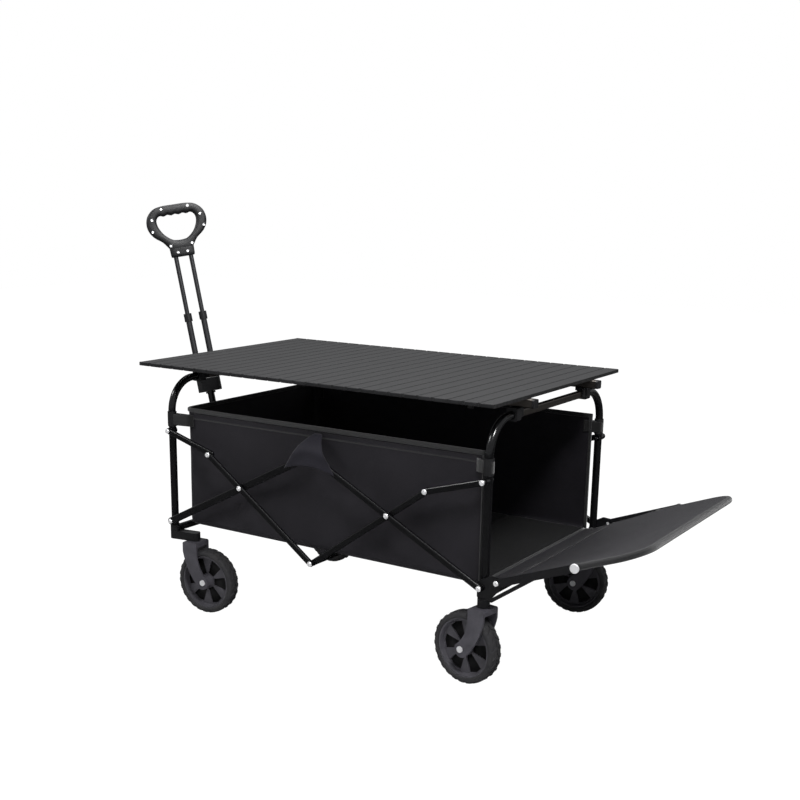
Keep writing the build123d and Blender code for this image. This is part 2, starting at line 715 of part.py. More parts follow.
# The grip is a ring with a wide top and a narrow neck, split in two halves that close round the rods.
grip_plane = Plane(handle_base + handle_up * grip_s, x_dir=turned.y_dir, z_dir=turned.x_dir)
neck_half = rod_half + rod_r + 4
shoulder_s = grip_height * 0.62
screw_places = [(side * x, s) for side in (-1, 1) for x, s in (
    (neck_half * 0.42, 10), (neck_half * 0.95, 30), (grip_width / 2 - 12, 74), (grip_width / 2 - 16, 106),
    (grip_width * 0.22, grip_height - 10),
)]


def grip_half(side):
    """One shell of the grip, on the given side of the rods' plane, with its screw holes."""
    with BuildPart() as half:
        with BuildSketch(grip_plane):
            with BuildLine():
                Polyline(
                    (-neck_half, 0), (neck_half, 0), (neck_half, 16), (grip_width / 2, shoulder_s - 12),
                    (grip_width / 2, shoulder_s + 22), (grip_width / 2 - 22, grip_height),
                    (-grip_width / 2 + 22, grip_height), (-grip_width / 2, shoulder_s + 22),
                    (-grip_width / 2, shoulder_s - 12), (-neck_half, 16), close=True,
                )
            make_face()
            fillet(vertices().group_by(Axis.Y)[-1], 26)
            with BuildLine():
                Polyline(
                    (-12, 40), (12, 40), (grip_width / 2 - grip_bar, shoulder_s - 4),
                    (grip_width / 2 - grip_bar, shoulder_s + 12),
                    (grip_width / 2 - grip_bar - 12, grip_height - grip_bar),
                    (-grip_width / 2 + grip_bar + 12, grip_height - grip_bar),
                    (-grip_width / 2 + grip_bar, shoulder_s + 12), (-grip_width / 2 + grip_bar, shoulder_s - 4),
                    close=True,
                )
            make_face(mode=Mode.SUBTRACT)
        extrude(amount=side * grip_half_t)
        outer_face = half.faces().sort_by(Axis(grip_plane.origin, grip_plane.z_dir * side))[-1]
        fillet(outer_face.edges(), 4)
        with BuildSketch(turned.offset(grip_s)):
            with Locations((0, -rod_half), (0, rod_half)):
                Circle(rod_r)
        extrude(amount=socket_depth, mode=Mode.SUBTRACT)
        with BuildSketch(grip_plane.offset(side * grip_half_t)):
            with Locations(*screw_places):
                Circle(screw_r)
        extrude(amount=-side * screw_depth, mode=Mode.SUBTRACT)
    return half


save(grip_half(1), "grip_inner_half")
save(grip_half(-1), "grip_outer_half")

with BuildPart() as grip_screws:
    for side in (-1, 1):
        with BuildSketch(grip_plane.offset(side * grip_half_t)):
            with Locations(*screw_places):
                Circle(screw_r)
        extrude(amount=-side * screw_depth)
        with BuildSketch(grip_plane.offset(side * grip_half_t)):
            with Locations(*screw_places):
                Circle(screw_head_r)
        extrude(amount=side * screw_head_t)
save(grip_screws, "grip_screws")

# Casters, each drawn with its stem on the Z axis and its wheel trailing along +X, then set in its place
fork_inner_y = wheel_width / 2 + fork_gap
fork_outer_y = fork_inner_y + fork_t
crown_half_x = 22.0
with BuildPart() as fork:
    with BuildSketch(Plane.XZ.offset(fork_inner_y)):
        fork_neck_z = crown_z - 12
        fork_middle_z = (crown_z + wheel_r) / 2
        foot_front = (caster_trail - 16, wheel_r - 14)
        foot_back = (caster_trail + 14, wheel_r + 8)
        with BuildLine():
            ThreePointArc((-crown_half_x, fork_neck_z), (-7, fork_middle_z - 12), foot_front)
            ThreePointArc(foot_front, (caster_trail + 6, wheel_r - 17), foot_back)
            ThreePointArc(foot_back, (28, fork_middle_z - 2), (crown_half_x, fork_neck_z))
            Polyline(
                (crown_half_x, fork_neck_z), (crown_half_x, crown_z + crown_t),
                (-crown_half_x, crown_z + crown_t), (-crown_half_x, fork_neck_z),
            )
        make_face()
        with Locations((caster_trail, wheel_r)):
            Circle(axle_r, mode=Mode.SUBTRACT)
    extrude(amount=fork_t)
    mirror(about=Plane.XZ)
    with Locations((0, 0, crown_z)):
        Box(2 * crown_half_x, 2 * fork_outer_y, crown_t, align=(Align.CENTER, Align.CENTER, Align.MIN))
    fillet(fork.edges().filter_by(Axis.Y).sort_by(Axis.Z)[-2:], 4)
    with Locations((0, 0, crown_z)):
        Cylinder(stem_r, stem_top_z - clearance - crown_z, align=(Align.CENTER, Align.CENTER, Align.MIN))

with BuildPart() as axle:
    with Locations(across(caster_trail, fork_outer_y, wheel_r)):
        Cylinder(axle_r, 2 * fork_outer_y, align=(Align.CENTER, Align.CENTER, Align.MIN))
    with Locations(
        across(caster_trail, -fork_outer_y, wheel_r),
        Location((caster_trail, fork_outer_y, wheel_r), (-90, 0, 0)),
    ):
        Cylinder(head_r + 1, head_t, align=(Align.CENTER, Align.CENTER, Align.MIN))

hub_half = fork_inner_y - clearance
web_half = 5.0
with BuildPart() as hub:
    with BuildSketch(Plane.YZ.offset(caster_trail)):
        with BuildLine():
            Polyline(
                (-hub_half, wheel_r + axle_r + running), (-hub_half, wheel_r + hub_boss_r),
                (-web_half, wheel_r + hub_boss_r + 4), (-web_half, wheel_r + rim_r - 7),
                (-wheel_width / 2 + 3, wheel_r + rim_r - 4), (-wheel_width / 2 + 3, wheel_r + rim_r),
                (wheel_width / 2 - 3, wheel_r + rim_r), (wheel_width / 2 - 3, wheel_r + rim_r - 4),
                (web_half, wheel_r + rim_r - 7), (web_half, wheel_r + hub_boss_r + 4),
                (hub_half, wheel_r + hub_boss_r), (hub_half, wheel_r + axle_r + running), close=True,
            )
        make_face()
    revolve(axis=Axis((caster_trail, 0, wheel_r), (0, 1, 0)))
    with BuildSketch(Plane.XZ.offset(-wheel_width)):
        for i in range(window_count):
            window_turn = 360 * i / window_count
            with BuildLine():
                Polyline(*[
                    (
                        caster_trail + r * cos(radians(window_turn + a)),
                        wheel_r + r * sin(radians(window_turn + a)),
                    )
                    for r, a in (
                        (hub_boss_r + 6, -24), (rim_r - 10, -17), (rim_r - 8, 0), (rim_r - 10, 17),
                        (hub_boss_r + 6, 24),
                    )
                ], close=True)
            make_face()
    extrude(amount=2 * wheel_width, mode=Mode.SUBTRACT)

with BuildPart() as tyre:
    with BuildSketch(Plane.YZ.offset(caster_trail)):
        with Locations((0, wheel_r + (rim_r + wheel_r) / 2)):
            Rectangle(wheel_width, wheel_r - rim_r)
        fillet(vertices().group_by(Axis.Y)[-1], 8)
        fillet(vertices().group_by(Axis.Y)[0], 2)
    revolve(axis=Axis((caster_trail, 0, wheel_r), (0, 1, 0)))

front_stem_x = front_x + front_stem_dx
casters = (
    ("front_near", Location((front_stem_x, -front_stem_y, 0), (0, 0, front_yaw))),
    ("front_far", Location((front_stem_x, front_stem_y, 0), (0, 0, -front_yaw))),
    ("tail_near", Location((tail_x, -tail_stem_y, 0), (0, 0, 180 - tail_yaw))),
    ("tail_far", Location((tail_x, tail_stem_y, 0), (0, 0, 180 + tail_yaw))),
)
for place_name, place in casters:
    for piece_name, piece in (("fork", fork), ("axle", axle), ("hub", hub), ("tyre", tyre)):
        with BuildPart() as placed:
            with Locations(place):
                add(piece.part)
        save(placed, f"{place_name}_{piece_name}")
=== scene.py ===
from math import cos, hypot, pi, radians, sin, tau

import bmesh
import bpy
from mathutils import Matrix, Vector, noise


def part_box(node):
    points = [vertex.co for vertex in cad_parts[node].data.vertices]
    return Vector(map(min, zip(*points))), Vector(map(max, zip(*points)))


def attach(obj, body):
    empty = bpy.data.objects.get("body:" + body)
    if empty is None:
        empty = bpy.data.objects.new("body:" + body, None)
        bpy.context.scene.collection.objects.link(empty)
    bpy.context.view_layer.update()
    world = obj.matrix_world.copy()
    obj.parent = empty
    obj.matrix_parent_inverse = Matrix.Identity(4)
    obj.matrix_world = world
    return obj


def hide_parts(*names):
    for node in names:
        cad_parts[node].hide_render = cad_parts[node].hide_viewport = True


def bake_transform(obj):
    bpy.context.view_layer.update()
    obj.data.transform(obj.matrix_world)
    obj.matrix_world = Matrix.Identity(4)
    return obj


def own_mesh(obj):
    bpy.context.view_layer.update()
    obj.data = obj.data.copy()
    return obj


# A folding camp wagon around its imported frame: metres, +X from the handle to the tail, +Z up.
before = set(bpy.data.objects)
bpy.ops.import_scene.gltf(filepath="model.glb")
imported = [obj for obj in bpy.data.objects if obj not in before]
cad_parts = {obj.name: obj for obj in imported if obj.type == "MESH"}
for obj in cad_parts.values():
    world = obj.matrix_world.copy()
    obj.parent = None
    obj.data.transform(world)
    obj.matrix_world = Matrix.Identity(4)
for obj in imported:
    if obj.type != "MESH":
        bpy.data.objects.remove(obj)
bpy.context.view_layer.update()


# ---------------------------------------------------------------------------------------------
# Frame readings
# ---------------------------------------------------------------------------------------------

def mid(node):
    """The middle of a CAD node's box."""
    low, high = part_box(node)
    return (low + high) / 2


def size(node):
    """The size of a CAD node's box."""
    low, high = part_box(node)
    return high - low


TUBE_R = size("front_crossbar").x / 2
FRONT_LEG_X = mid("front_legs").x
TAIL_LEG_X = mid("tail_legs").x
LEG_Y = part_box("front_arch")[1].y - TUBE_R
COLLAR_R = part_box("front_collars")[1].y - LEG_Y
HALF_Y = 0.281            # the tub's outer face
CLOTH = 0.003             # the tub's cloth with its lining
TUB_FRONT_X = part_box("basket_floor")[0].x - 0.007
TUB_TAIL_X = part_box("basket_floor")[1].x + 0.007
TUB_LOW_Z, TUB_HIGH_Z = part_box("basket")[0].z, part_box("basket")[1].z
COLLAR_Z = 0.507          # the middle of the leg collars
MID_X = (FRONT_LEG_X + TAIL_LEG_X) / 2
SLAT_COUNT = 27
SLAT_GAP = 0.0016
DOT_PITCH = 0.0065        # between the pressed dots beside each joint of the table

UP = (0.0, 0.0, 1.0)
ALONG_X = (1.0, 0.0, 0.0)
ALONG_Y = (0.0, 1.0, 0.0)
ROUND_THE_TUB = (1.0, 1.0, 0.0)  # on walls square to X or to Y, x + y runs along the wall

# ---------------------------------------------------------------------------------------------
# Shader helpers
# ---------------------------------------------------------------------------------------------

class Shader:
    """A small builder for one procedural material."""

    def __init__(self, name, colour, roughness, metallic=0.0, **sockets):
        self.material = bpy.data.materials.new(name)
        self.material.use_nodes = True
        self.tree = self.material.node_tree
        self.surface = self.tree.nodes["Principled BSDF"]
        self.surface.inputs["Base Color"].default_value = (*colour, 1)
        self.surface.inputs["Roughness"].default_value = roughness
        self.surface.inputs["Metallic"].default_value = metallic
        for socket, value in sockets.items():
            self.surface.inputs[socket.replace("_", " ")].default_value = value
        self.material.diffuse_color = (*colour, 1)
        self.place = self.node("ShaderNodeTexCoord").outputs["Object"]

    def node(self, kind, **values):
        """A node, with its properties and its inputs set by name."""
        made = self.tree.nodes.new(kind)
        for name, value in values.items():
            if hasattr(made, name):
                setattr(made, name, value)
            else:
                self.feed(made.inputs[name.replace("_", " ")], value)
        return made

    def feed(self, socket, value):
        """Link an output to a socket, or set its constant."""
        if isinstance(value, bpy.types.NodeSocket):
            self.tree.links.new(value, socket)
        else:
            socket.default_value = value

    def maths(self, operation, first, second=0.0):
        made = self.tree.nodes.new("ShaderNodeMath")
        made.operation = operation
        self.feed(made.inputs[0], first)
        self.feed(made.inputs[1], second)
        return made.outputs[0]

    def along(self, direction):
        """The distance of the point along a direction."""
        made = self.tree.nodes.new("ShaderNodeVectorMath")
        made.operation = "DOT_PRODUCT"
        self.feed(made.inputs[0], self.place)
        self.feed(made.inputs[1], direction)
        return made.outputs["Value"]

    def stretched(self, scale):
        """The point's place with each axis scaled by itself."""
        made = self.tree.nodes.new("ShaderNodeVectorMath")
        made.operation = "MULTIPLY"
        self.feed(made.inputs[0], self.place)
        self.feed(made.inputs[1], scale)
        return made.outputs[0]

    def noise(self, scale, detail=3.0, roughness=0.5, place=None):
        made = self.node("ShaderNodeTexNoise", Scale=scale, Detail=detail, Roughness=roughness)
        self.feed(made.inputs["Vector"], place or self.place)
        return made.outputs["Fac"]

    def cells(self, scale):
        made = self.node("ShaderNodeTexVoronoi", feature="F1", Scale=scale)
        self.feed(made.inputs["Vector"], self.place)
        return made.outputs["Distance"]

    def ramp(self, value, low, high, start=0.0, end=1.0):
        """value from start..end mapped to low..high, held at both ends."""
        made = self.node("ShaderNodeMapRange", clamp=True)
        for socket, number in zip(("From Min", "From Max", "To Min", "To Max"), (start, end, low, high)):
            made.inputs[socket].default_value = number
        self.feed(made.inputs["Value"], value)
        return made.outputs["Result"]

    def mix(self, factor, first, second):
        """A colour between two colours or colour outputs."""
        made = self.node("ShaderNodeMix", data_type="RGBA")
        sockets = {"Factor": factor, "A": first, "B": second}
        for socket in made.inputs:
            wanted = socket.type == "RGBA" or socket.name == "Factor"
            if socket.name in sockets and wanted and socket.enabled:
                value = sockets[socket.name]
                self.feed(socket, (*value, 1) if isinstance(value, tuple) and len(value) == 3 else value)
        return [o for o in made.outputs if o.type == "RGBA"][0]

    def colour(self, value):
        self.tree.links.new(value, self.surface.inputs["Base Color"])

    def rough(self, value):
        self.tree.links.new(value, self.surface.inputs["Roughness"])

    def bump(self, height, distance, strength=1.0):
        """Add a bump on top of those made before."""
        made = self.node("ShaderNodeBump", Strength=strength, Distance=distance)
        self.feed(made.inputs["Height"], height)
        normal = self.surface.inputs["Normal"]
        if normal.is_linked:
            self.tree.links.new(normal.links[0].from_socket, made.inputs["Normal"])
        self.tree.links.new(made.outputs["Normal"], normal)


def coated_metal(name, colour, roughness, grain, worn):
    """Powder coat: orange peel, a little dust in the gloss and small rubbed spots."""
    made = Shader(name, colour, roughness, Specular_IOR_Level=0.6)
    peel = made.noise(grain, 2)
    smudge = made.noise(9, 4, 0.6)
    rub = made.ramp(made.noise(55, 5, 0.7), 0.0, 1.0, 0.66, 0.74)
    dusty = made.mix(made.ramp(smudge, 0.0, 0.5, 0.45, 0.8), colour, tuple(c * 2.0 + 0.0015 for c in colour))
    made.colour(made.mix(rub, dusty, worn))
    made.rough(made.ramp(smudge, roughness - 0.06, roughness + 0.14))
    made.bump(peel, 0.00004, 0.35)
    return made.material


def moulded(name, colour, roughness, grain_scale, depth):
    """Moulded plastic with a fine spark-eroded grain and dust in its hollows."""
    made = Shader(name, colour, roughness, Specular_IOR_Level=0.45)
    grain = made.cells(grain_scale)
    dust = made.noise(14, 5, 0.65)
    dusty = tuple(c * 1.9 + 0.006 for c in colour)
    made.colour(made.mix(made.ramp(dust, 0.0, 0.7, 0.45, 0.8), colour, dusty))
    made.rough(made.ramp(dust, roughness - 0.07, roughness + 0.12))
    made.bump(grain, depth, 0.7)
    made.bump(made.noise(260, 4), depth * 0.6, 0.5)
    return made.material


def plated(name, colour, roughness, streak, metallic=1.0):
    """Plated or drawn steel with fine lines along one axis."""
    made = Shader(name, colour, roughness, metallic)
    lines = made.noise(1.0, 3, 0.6, made.stretched(streak))
    stain = made.noise(40, 4, 0.6)
    made.colour(made.mix(made.ramp(stain, 0.0, 0.35, 0.5, 0.9), colour, tuple(c * 0.62 for c in colour)))
    made.rough(made.ramp(lines, roughness - 0.08, roughness + 0.12))
    made.bump(lines, 0.00003, 0.4)
    return made.material


def oxford(name, colour, warp, weft, yarn=0.0013, sheen=0.1):
    """Coated oxford cloth: a basket weave along two directions with painted shade in its hollows, slubs, and
    broad pale patches that are partly dust and partly painted sheen.
    """
    made = Shader(
        name, colour, 0.55, Sheen_Weight=sheen, Sheen_Roughness=0.4, Specular_IOR_Level=0.22,
    )
    across_warp = made.maths("SINE", made.maths("MULTIPLY", made.along(warp), tau / yarn))
    across_weft = made.maths("SINE", made.maths("MULTIPLY", made.along(weft), tau / yarn))
    weave = made.maths("MULTIPLY", across_warp, across_weft)
    height = made.ramp(weave, 0.0, 1.0, -1.0, 1.0)
    slub = made.noise(1.0, 2, 0.5, made.stretched((140, 140, 900)))
    dust_and_sheen_patches = made.noise(5, 4, 0.6)
    # darker where the weave is low: painted shade in the weave's hollows
    hollow_shade = tuple(c * 0.62 for c in colour)
    # the paler tone serves the slubs' own tone and the broad patches of dust and painted sheen
    pale = tuple(c * 1.75 + 0.002 for c in colour)
    shaded_weave = made.mix(height, hollow_shade, colour)
    slubbed = made.mix(made.ramp(slub, 0.0, 0.55, 0.5, 0.8), shaded_weave, pale)
    # broad patches painted paler: partly dust, partly painted sheen
    made.colour(made.mix(made.ramp(dust_and_sheen_patches, 0.0, 0.5, 0.35, 0.8), slubbed, pale))
    made.rough(made.ramp(dust_and_sheen_patches, 0.5, 0.7))
    made.bump(height, 0.00022, 0.8)
    made.bump(slub, 0.0001, 0.5)
    return made.material


def webbing(name, colour, direction):
    """Woven strap with ribs across it, with painted shade in the grooves between the ribs."""
    made = Shader(name, colour, 0.7, Sheen_Weight=0.3, Specular_IOR_Level=0.3)
    ribs = made.maths("SINE", made.maths("MULTIPLY", made.along(direction), tau / 0.0018))
    fuzz = made.noise(700, 3)
    # darker between the ribs: painted shade in the grooves
    made.colour(made.mix(made.ramp(ribs, 0.0, 1.0, -1.0, 1.0), tuple(c * 0.6 for c in colour), colour))
    made.rough(made.ramp(fuzz, 0.6, 0.85))
    made.bump(ribs, 0.0002, 0.7)
    made.bump(fuzz, 0.0001, 0.4)
    return made.material


def embossed_slat(name, colour):
    """Painted aluminium with a fine sand texture and rows of pressed dots, each dot painted near black as
    shade in its hollow.
    """
    made = Shader(name, colour, 0.52, Specular_IOR_Level=0.25)
    sand = made.noise(1900, 2)
    cloud = made.noise(3.2, 5, 0.6)
    fine = made.noise(60, 4, 0.65)
    pale = tuple(c * 1.45 for c in colour)
    toned = made.mix(made.ramp(cloud, 0.0, 0.8, 0.3, 0.75), colour, pale)
    made.rough(made.ramp(fine, 0.45, 0.62))
    made.bump(sand, 0.00008, 0.6)
    low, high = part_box("table_slats")
    length = high.x - low.x
    pitch = (length + SLAT_GAP) / SLAT_COUNT
    middle = 0.5 - 0.5 * SLAT_GAP * SLAT_COUNT / length
    from_front = made.maths("SUBTRACT", made.along(ALONG_X), low.x)
    in_slat = made.maths("FRACT", made.maths("DIVIDE", from_front, pitch))
    from_middle = made.maths("ABSOLUTE", made.maths("SUBTRACT", in_slat, middle))
    row = made.ramp(from_middle, 0.0, 1.0, 0.40, 0.45)
    spaced = made.maths("SINE", made.maths("MULTIPLY", made.along(ALONG_Y), tau / DOT_PITCH))
    dots = made.maths("MULTIPLY", row, made.ramp(spaced, 0.0, 1.0, -0.1, 0.7))
    # the pressed dots painted near black: painted shade in each dot's hollow
    pressed = made.mix(dots, tuple(c * 0.8 for c in colour), (0.002, 0.002, 0.002))
    made.colour(made.mix(made.ramp(fine, 0.0, 0.5, 0.3, 0.9), pressed, toned))
    made.bump(made.maths("MULTIPLY", dots, -1.0), 0.0012, 1.0)
    return made.material


def rubber(name, colour):
    """Tyre rubber, dull, with road dust."""
    made = Shader(name, colour, 0.72, Specular_IOR_Level=0.35)
    dust = made.noise(24, 6, 0.7)
    made.colour(made.mix(made.ramp(dust, 0.0, 0.6, 0.45, 0.75), colour, (0.045, 0.043, 0.041)))
    made.rough(made.ramp(dust, 0.6, 0.88))
    made.bump(made.noise(500, 4, 0.6), 0.0002, 0.6)
    return made.material


MATERIALS = {
    "tube_black": coated_metal("satin black tube", (0.0025, 0.0025, 0.003), 0.14, 1400, (0.02, 0.02, 0.021)),
    "plate_black": coated_metal("black steel plate", (0.006, 0.006, 0.007), 0.3, 1100, (0.05, 0.05, 0.052)),
    "bar_grey": plated("grey arch bar", (0.17, 0.155, 0.14), 0.38, (900, 25, 900)),
    "plastic_black": moulded("black moulding", (0.009, 0.009, 0.01), 0.42, 1500, 0.0001),
    # near-white and only half metallic: the pale zinc colour, with a painted glint in its diffuse half
    "rivet_steel": plated("zinc rivet painted glint", (0.9, 0.9, 0.91), 0.4, (600, 600, 600), 0.5),
    "rod_steel": plated("dull chrome rod", (0.11, 0.11, 0.115), 0.3, (900, 900, 18)),
    # a near-black disc across the hub's windows: painted shade
    "wheel_web": moulded("hub web shadow black", (0.0015, 0.0015, 0.0018), 0.7, 1000, 0.0001),
    "corner_tab": webbing("corner tab webbing", (0.003, 0.003, 0.0034), ROUND_THE_TUB),
    "basket_fabric": oxford("basket oxford cloth", (0.0125, 0.0112, 0.0148), ROUND_THE_TUB, UP),
    "thread": webbing("sewing thread", (0.03, 0.03, 0.032), UP),
    "binding": webbing("bound edge tape", (0.010, 0.010, 0.011), ROUND_THE_TUB),
    "bottom_cloth": oxford("basket bottom cloth", (0.010, 0.010, 0.011), ALONG_X, ALONG_Y),
    "flap_cloth": oxford("flap cloth", (0.012, 0.011, 0.017), ALONG_X, UP),
    "floor_board": oxford("floor board cloth", (0.004, 0.004, 0.0045), ALONG_X, ALONG_Y),
    "tail_fabric": oxford("tail panel cloth", (0.0135, 0.0127, 0.0155), ALONG_Y, (0.935, 0, 0.355)),
    "table_slat": embossed_slat("table slat paint", (0.03, 0.03, 0.031)),
    "fork_plastic": moulded("fork nylon", (0.05, 0.048, 0.057), 0.36, 1100, 0.00012),
    # near-white and only half metallic: the pale steel colour, with a painted glint in its diffuse half
    "axle_steel": plated("axle steel painted glint", (0.9, 0.9, 0.91), 0.4, (500, 500, 500), 0.5),
    "hub_plastic": moulded("hub nylon", (0.052, 0.05, 0.058), 0.4, 1000, 0.00012),
    "tyre": rubber("tyre rubber", (0.024, 0.0235, 0.026)),
}


def dress_cad_nodes():
    """Give every CAD node its slot's material."""
    for name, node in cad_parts.items():
        for place in node.material_slots:
            slot = place.material.name.split(".")[0] if place.material else ""
            if name == "handle_sleeves":
                slot = "rod_steel"
            place.material = MATERIALS.get(slot, MATERIALS["tube_black"])


# ---------------------------------------------------------------------------------------------
# Mesh helpers
# ---------------------------------------------------------------------------------------------

def piece(name, points, faces, slot, body=None, smooth=True, material=None):
    """A mesh piece with its slot's material, riding on a body when one is named."""
    mesh = bpy.data.meshes.new(name)
    mesh.from_pydata([tuple(p) for p in points], [], faces)
    work = bmesh.new()
    work.from_mesh(mesh)
    bmesh.ops.remove_doubles(work, verts=work.verts, dist=1e-6)
    bmesh.ops.recalc_face_normals(work, faces=work.faces)
    work.to_mesh(mesh)
    work.free()
    mesh.materials.append(material or MATERIALS[slot])
    if smooth:
        mesh.shade_smooth()
    made = bpy.data.objects.new(name, mesh)
    bpy.context.scene.collection.objects.link(made)
    if body:
        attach(made, body)
    return made


def grid_faces(rows, columns, first=0, wrap=False):
    """Quads between rows of points, closed round the columns when wrap is set."""
    last = columns if wrap else columns - 1
    return [
        (
            first + r * columns + c, first + r * columns + (c + 1) % columns,
            first + (r + 1) * columns + (c + 1) % columns, first + (r + 1) * columns + c,
        )
        for r in range(rows - 1) for c in range(last)
    ]


def torus_faces(around, width):
    """Quads between rings of points, where each ring closes and the last ring meets the first."""
    return [
        (
            i * width + c, i * width + (c + 1) % width,
            (i + 1) % around * width + (c + 1) % width, (i + 1) % around * width + c,
        )
        for i in range(around) for c in range(width)
    ]


def shell_faces(rows, columns):
    """Faces of two grids of points, one after the other, joined round their rims."""
    count = rows * columns
    faces = grid_faces(rows, columns)
    faces += [tuple(reversed(f)) for f in grid_faces(rows, columns, count)]
    rim = list(range(columns)) + [r * columns + columns - 1 for r in range(1, rows)]
    rim += [(rows - 1) * columns + c for c in range(columns - 2, -1, -1)]
    rim += [r * columns for r in range(rows - 2, 0, -1)]
    for a, b in zip(rim, rim[1:] + rim[:1]):
        faces.append((b, a, a + count, b + count))
    return faces


def cloth_shell(surface, rows, columns, thickness):
    """Points and faces of a closed thin sheet: surface(u, v) gives the middle, u and v from 0 to 1."""
    step = 1e-4
    layers = ([], [])
    for r in range(rows):
        for c in range(columns):
            u, v = c / (columns - 1), r / (rows - 1)
            here = surface(u, v)
            du = surface(min(1, u + step), v) - surface(max(0, u - step), v)
            dv = surface(u, min(1, v + step)) - surface(u, max(0, v - step))
            normal = du.cross(dv).normalized()
            layers[0].append(here + normal * thickness / 2)
            layers[1].append(here - normal * thickness / 2)
    return layers[0] + layers[1], shell_faces(rows, columns)


def swept(path, section, up=Vector((0, 0, 1))):
    """Points and faces of a section carried along a path. section is a list of (side, rise) pairs."""
    points, count = [], len(path)
    for i, here in enumerate(path):
        ahead = (path[min(i + 1, count - 1)] - path[max(i - 1, 0)]).normalized()
        side = ahead.cross(up).normalized()
        rise = side.cross(ahead)
        points += [here + side * a + rise * b for a, b in section]
    width = len(section)
    faces = grid_faces(count, width, wrap=True)
    faces += [tuple(range(width - 1, -1, -1)), tuple(range((count - 1) * width, count * width))]
    return points, faces


def ring(radius, sides):
    """A round section."""
    return [(radius * cos(tau * i / sides), radius * sin(tau * i / sides)) for i in range(sides)]


def rounded(width, height, corner, steps=3):
    """A rectangular section with round corners."""
    out = []
    for turn, x, y in ((0, 1, 1), (1, -1, 1), (2, -1, -1), (3, 1, -1)):
        for i in range(steps + 1):
            angle = pi / 2 * (turn + i / steps)
            out.append((
                x * (width / 2 - corner) + corner * cos(angle),
                y * (height / 2 - corner) + corner * sin(angle),
            ))
    return out


def joined(*parts):
    """Several (points, faces) in one."""
    points, faces = [], []
    for more_points, more_faces in parts:
        faces += [tuple(i + len(points) for i in f) for f in more_faces]
        points += more_points
    return points, faces


def ripple(place, scale, seed):
    """A smooth value from -1 to 1 that varies over the place."""
    return noise.noise(Vector(place) * scale + Vector((seed, seed * 1.7, -seed)))


# ---------------------------------------------------------------------------------------------
# Basket
# ---------------------------------------------------------------------------------------------

CORNER_R = 0.022          # the tub's upright front corners
FOOT_R = 0.014            # the turn of the wall into the floor
BINDING = 0.0042          # half the thickness of the bound edges
EDGE_STEPS = 240          # points along the rim and the hem fold
HEM_DROP = 0.026          # the hem fold below the rim
THREAD_DROPS = (0.0135, 0.0235)
THREAD_SPACING = 0.0045
TAB_HEIGHT = 0.030


def tub_outline():
    """The tub's wall seen from above, from the near tail edge round the front to the far tail edge."""
    inner = CLOTH / 2
    side_y, front_x = HALF_Y - inner, TUB_FRONT_X + inner
    corner_x, corner_y = front_x + CORNER_R, side_y - CORNER_R
    straight = TUB_TAIL_X - corner_x
    bend = CORNER_R * pi / 2
    front = 2 * corner_y
    total = 2 * straight + 2 * bend + front

    def at(share):
        """(x, y, outward x, outward y) at a share of the outline's length."""
        run = share * total
        if run <= straight:
            return TUB_TAIL_X - run, -side_y, 0.0, -1.0
        run -= straight
        if run <= bend:
            turn = run / CORNER_R
            out_x, out_y = -sin(turn), -cos(turn)
            return corner_x + CORNER_R * out_x, CORNER_R * out_y - corner_y, out_x, out_y
        run -= bend
        if run <= front:
            return front_x, run - corner_y, -1.0, 0.0
        run -= front
        if run <= bend:
            turn = run / CORNER_R
            out_x, out_y = -cos(turn), sin(turn)
            return corner_x + CORNER_R * out_x, corner_y + CORNER_R * out_y, out_x, out_y
        run -= bend
        return corner_x + run, side_y, 0.0, 1.0

    return at, total


def wall_slack(x, y, z, out_x, out_y):
    """How far the wall's cloth stands out at a place: it hangs slack between its bound edges."""
    height = (z - TUB_LOW_Z) / (TUB_HIGH_Z - TUB_LOW_Z)
    held = max(0.0, sin(pi * min(1, max(0, height))))
    along = x if abs(out_y) > 0.5 else y
    ends = min(1.0, (TUB_TAIL_X - x) / 0.09) if abs(out_y) > 0.5 else 1.0
    crumple = 0.55 * ripple((along, 0, z * 0.35), 7.0, 3.1 + out_y)
    crumple += 0.3 * ripple((along, 0, z * 0.8), 19.0, 8.3 + out_x)
    return held * max(0.0, ends) * (-0.0022 + 0.0032 * crumple)


def wall_line(drop, steps):
    """Points along the wall's outer face at a drop below the rim."""
    at, _ = tub_outline()
    line = []
    for i in range(steps):
        x, y, out_x, out_y = at(i / (steps - 1))
        z = TUB_HIGH_Z - drop
        out = wall_slack(x, y, z, out_x, out_y) + CLOTH * 0.3
        line.append(Vector((x + out_x * out, y + out_y * out, z)))
    return line


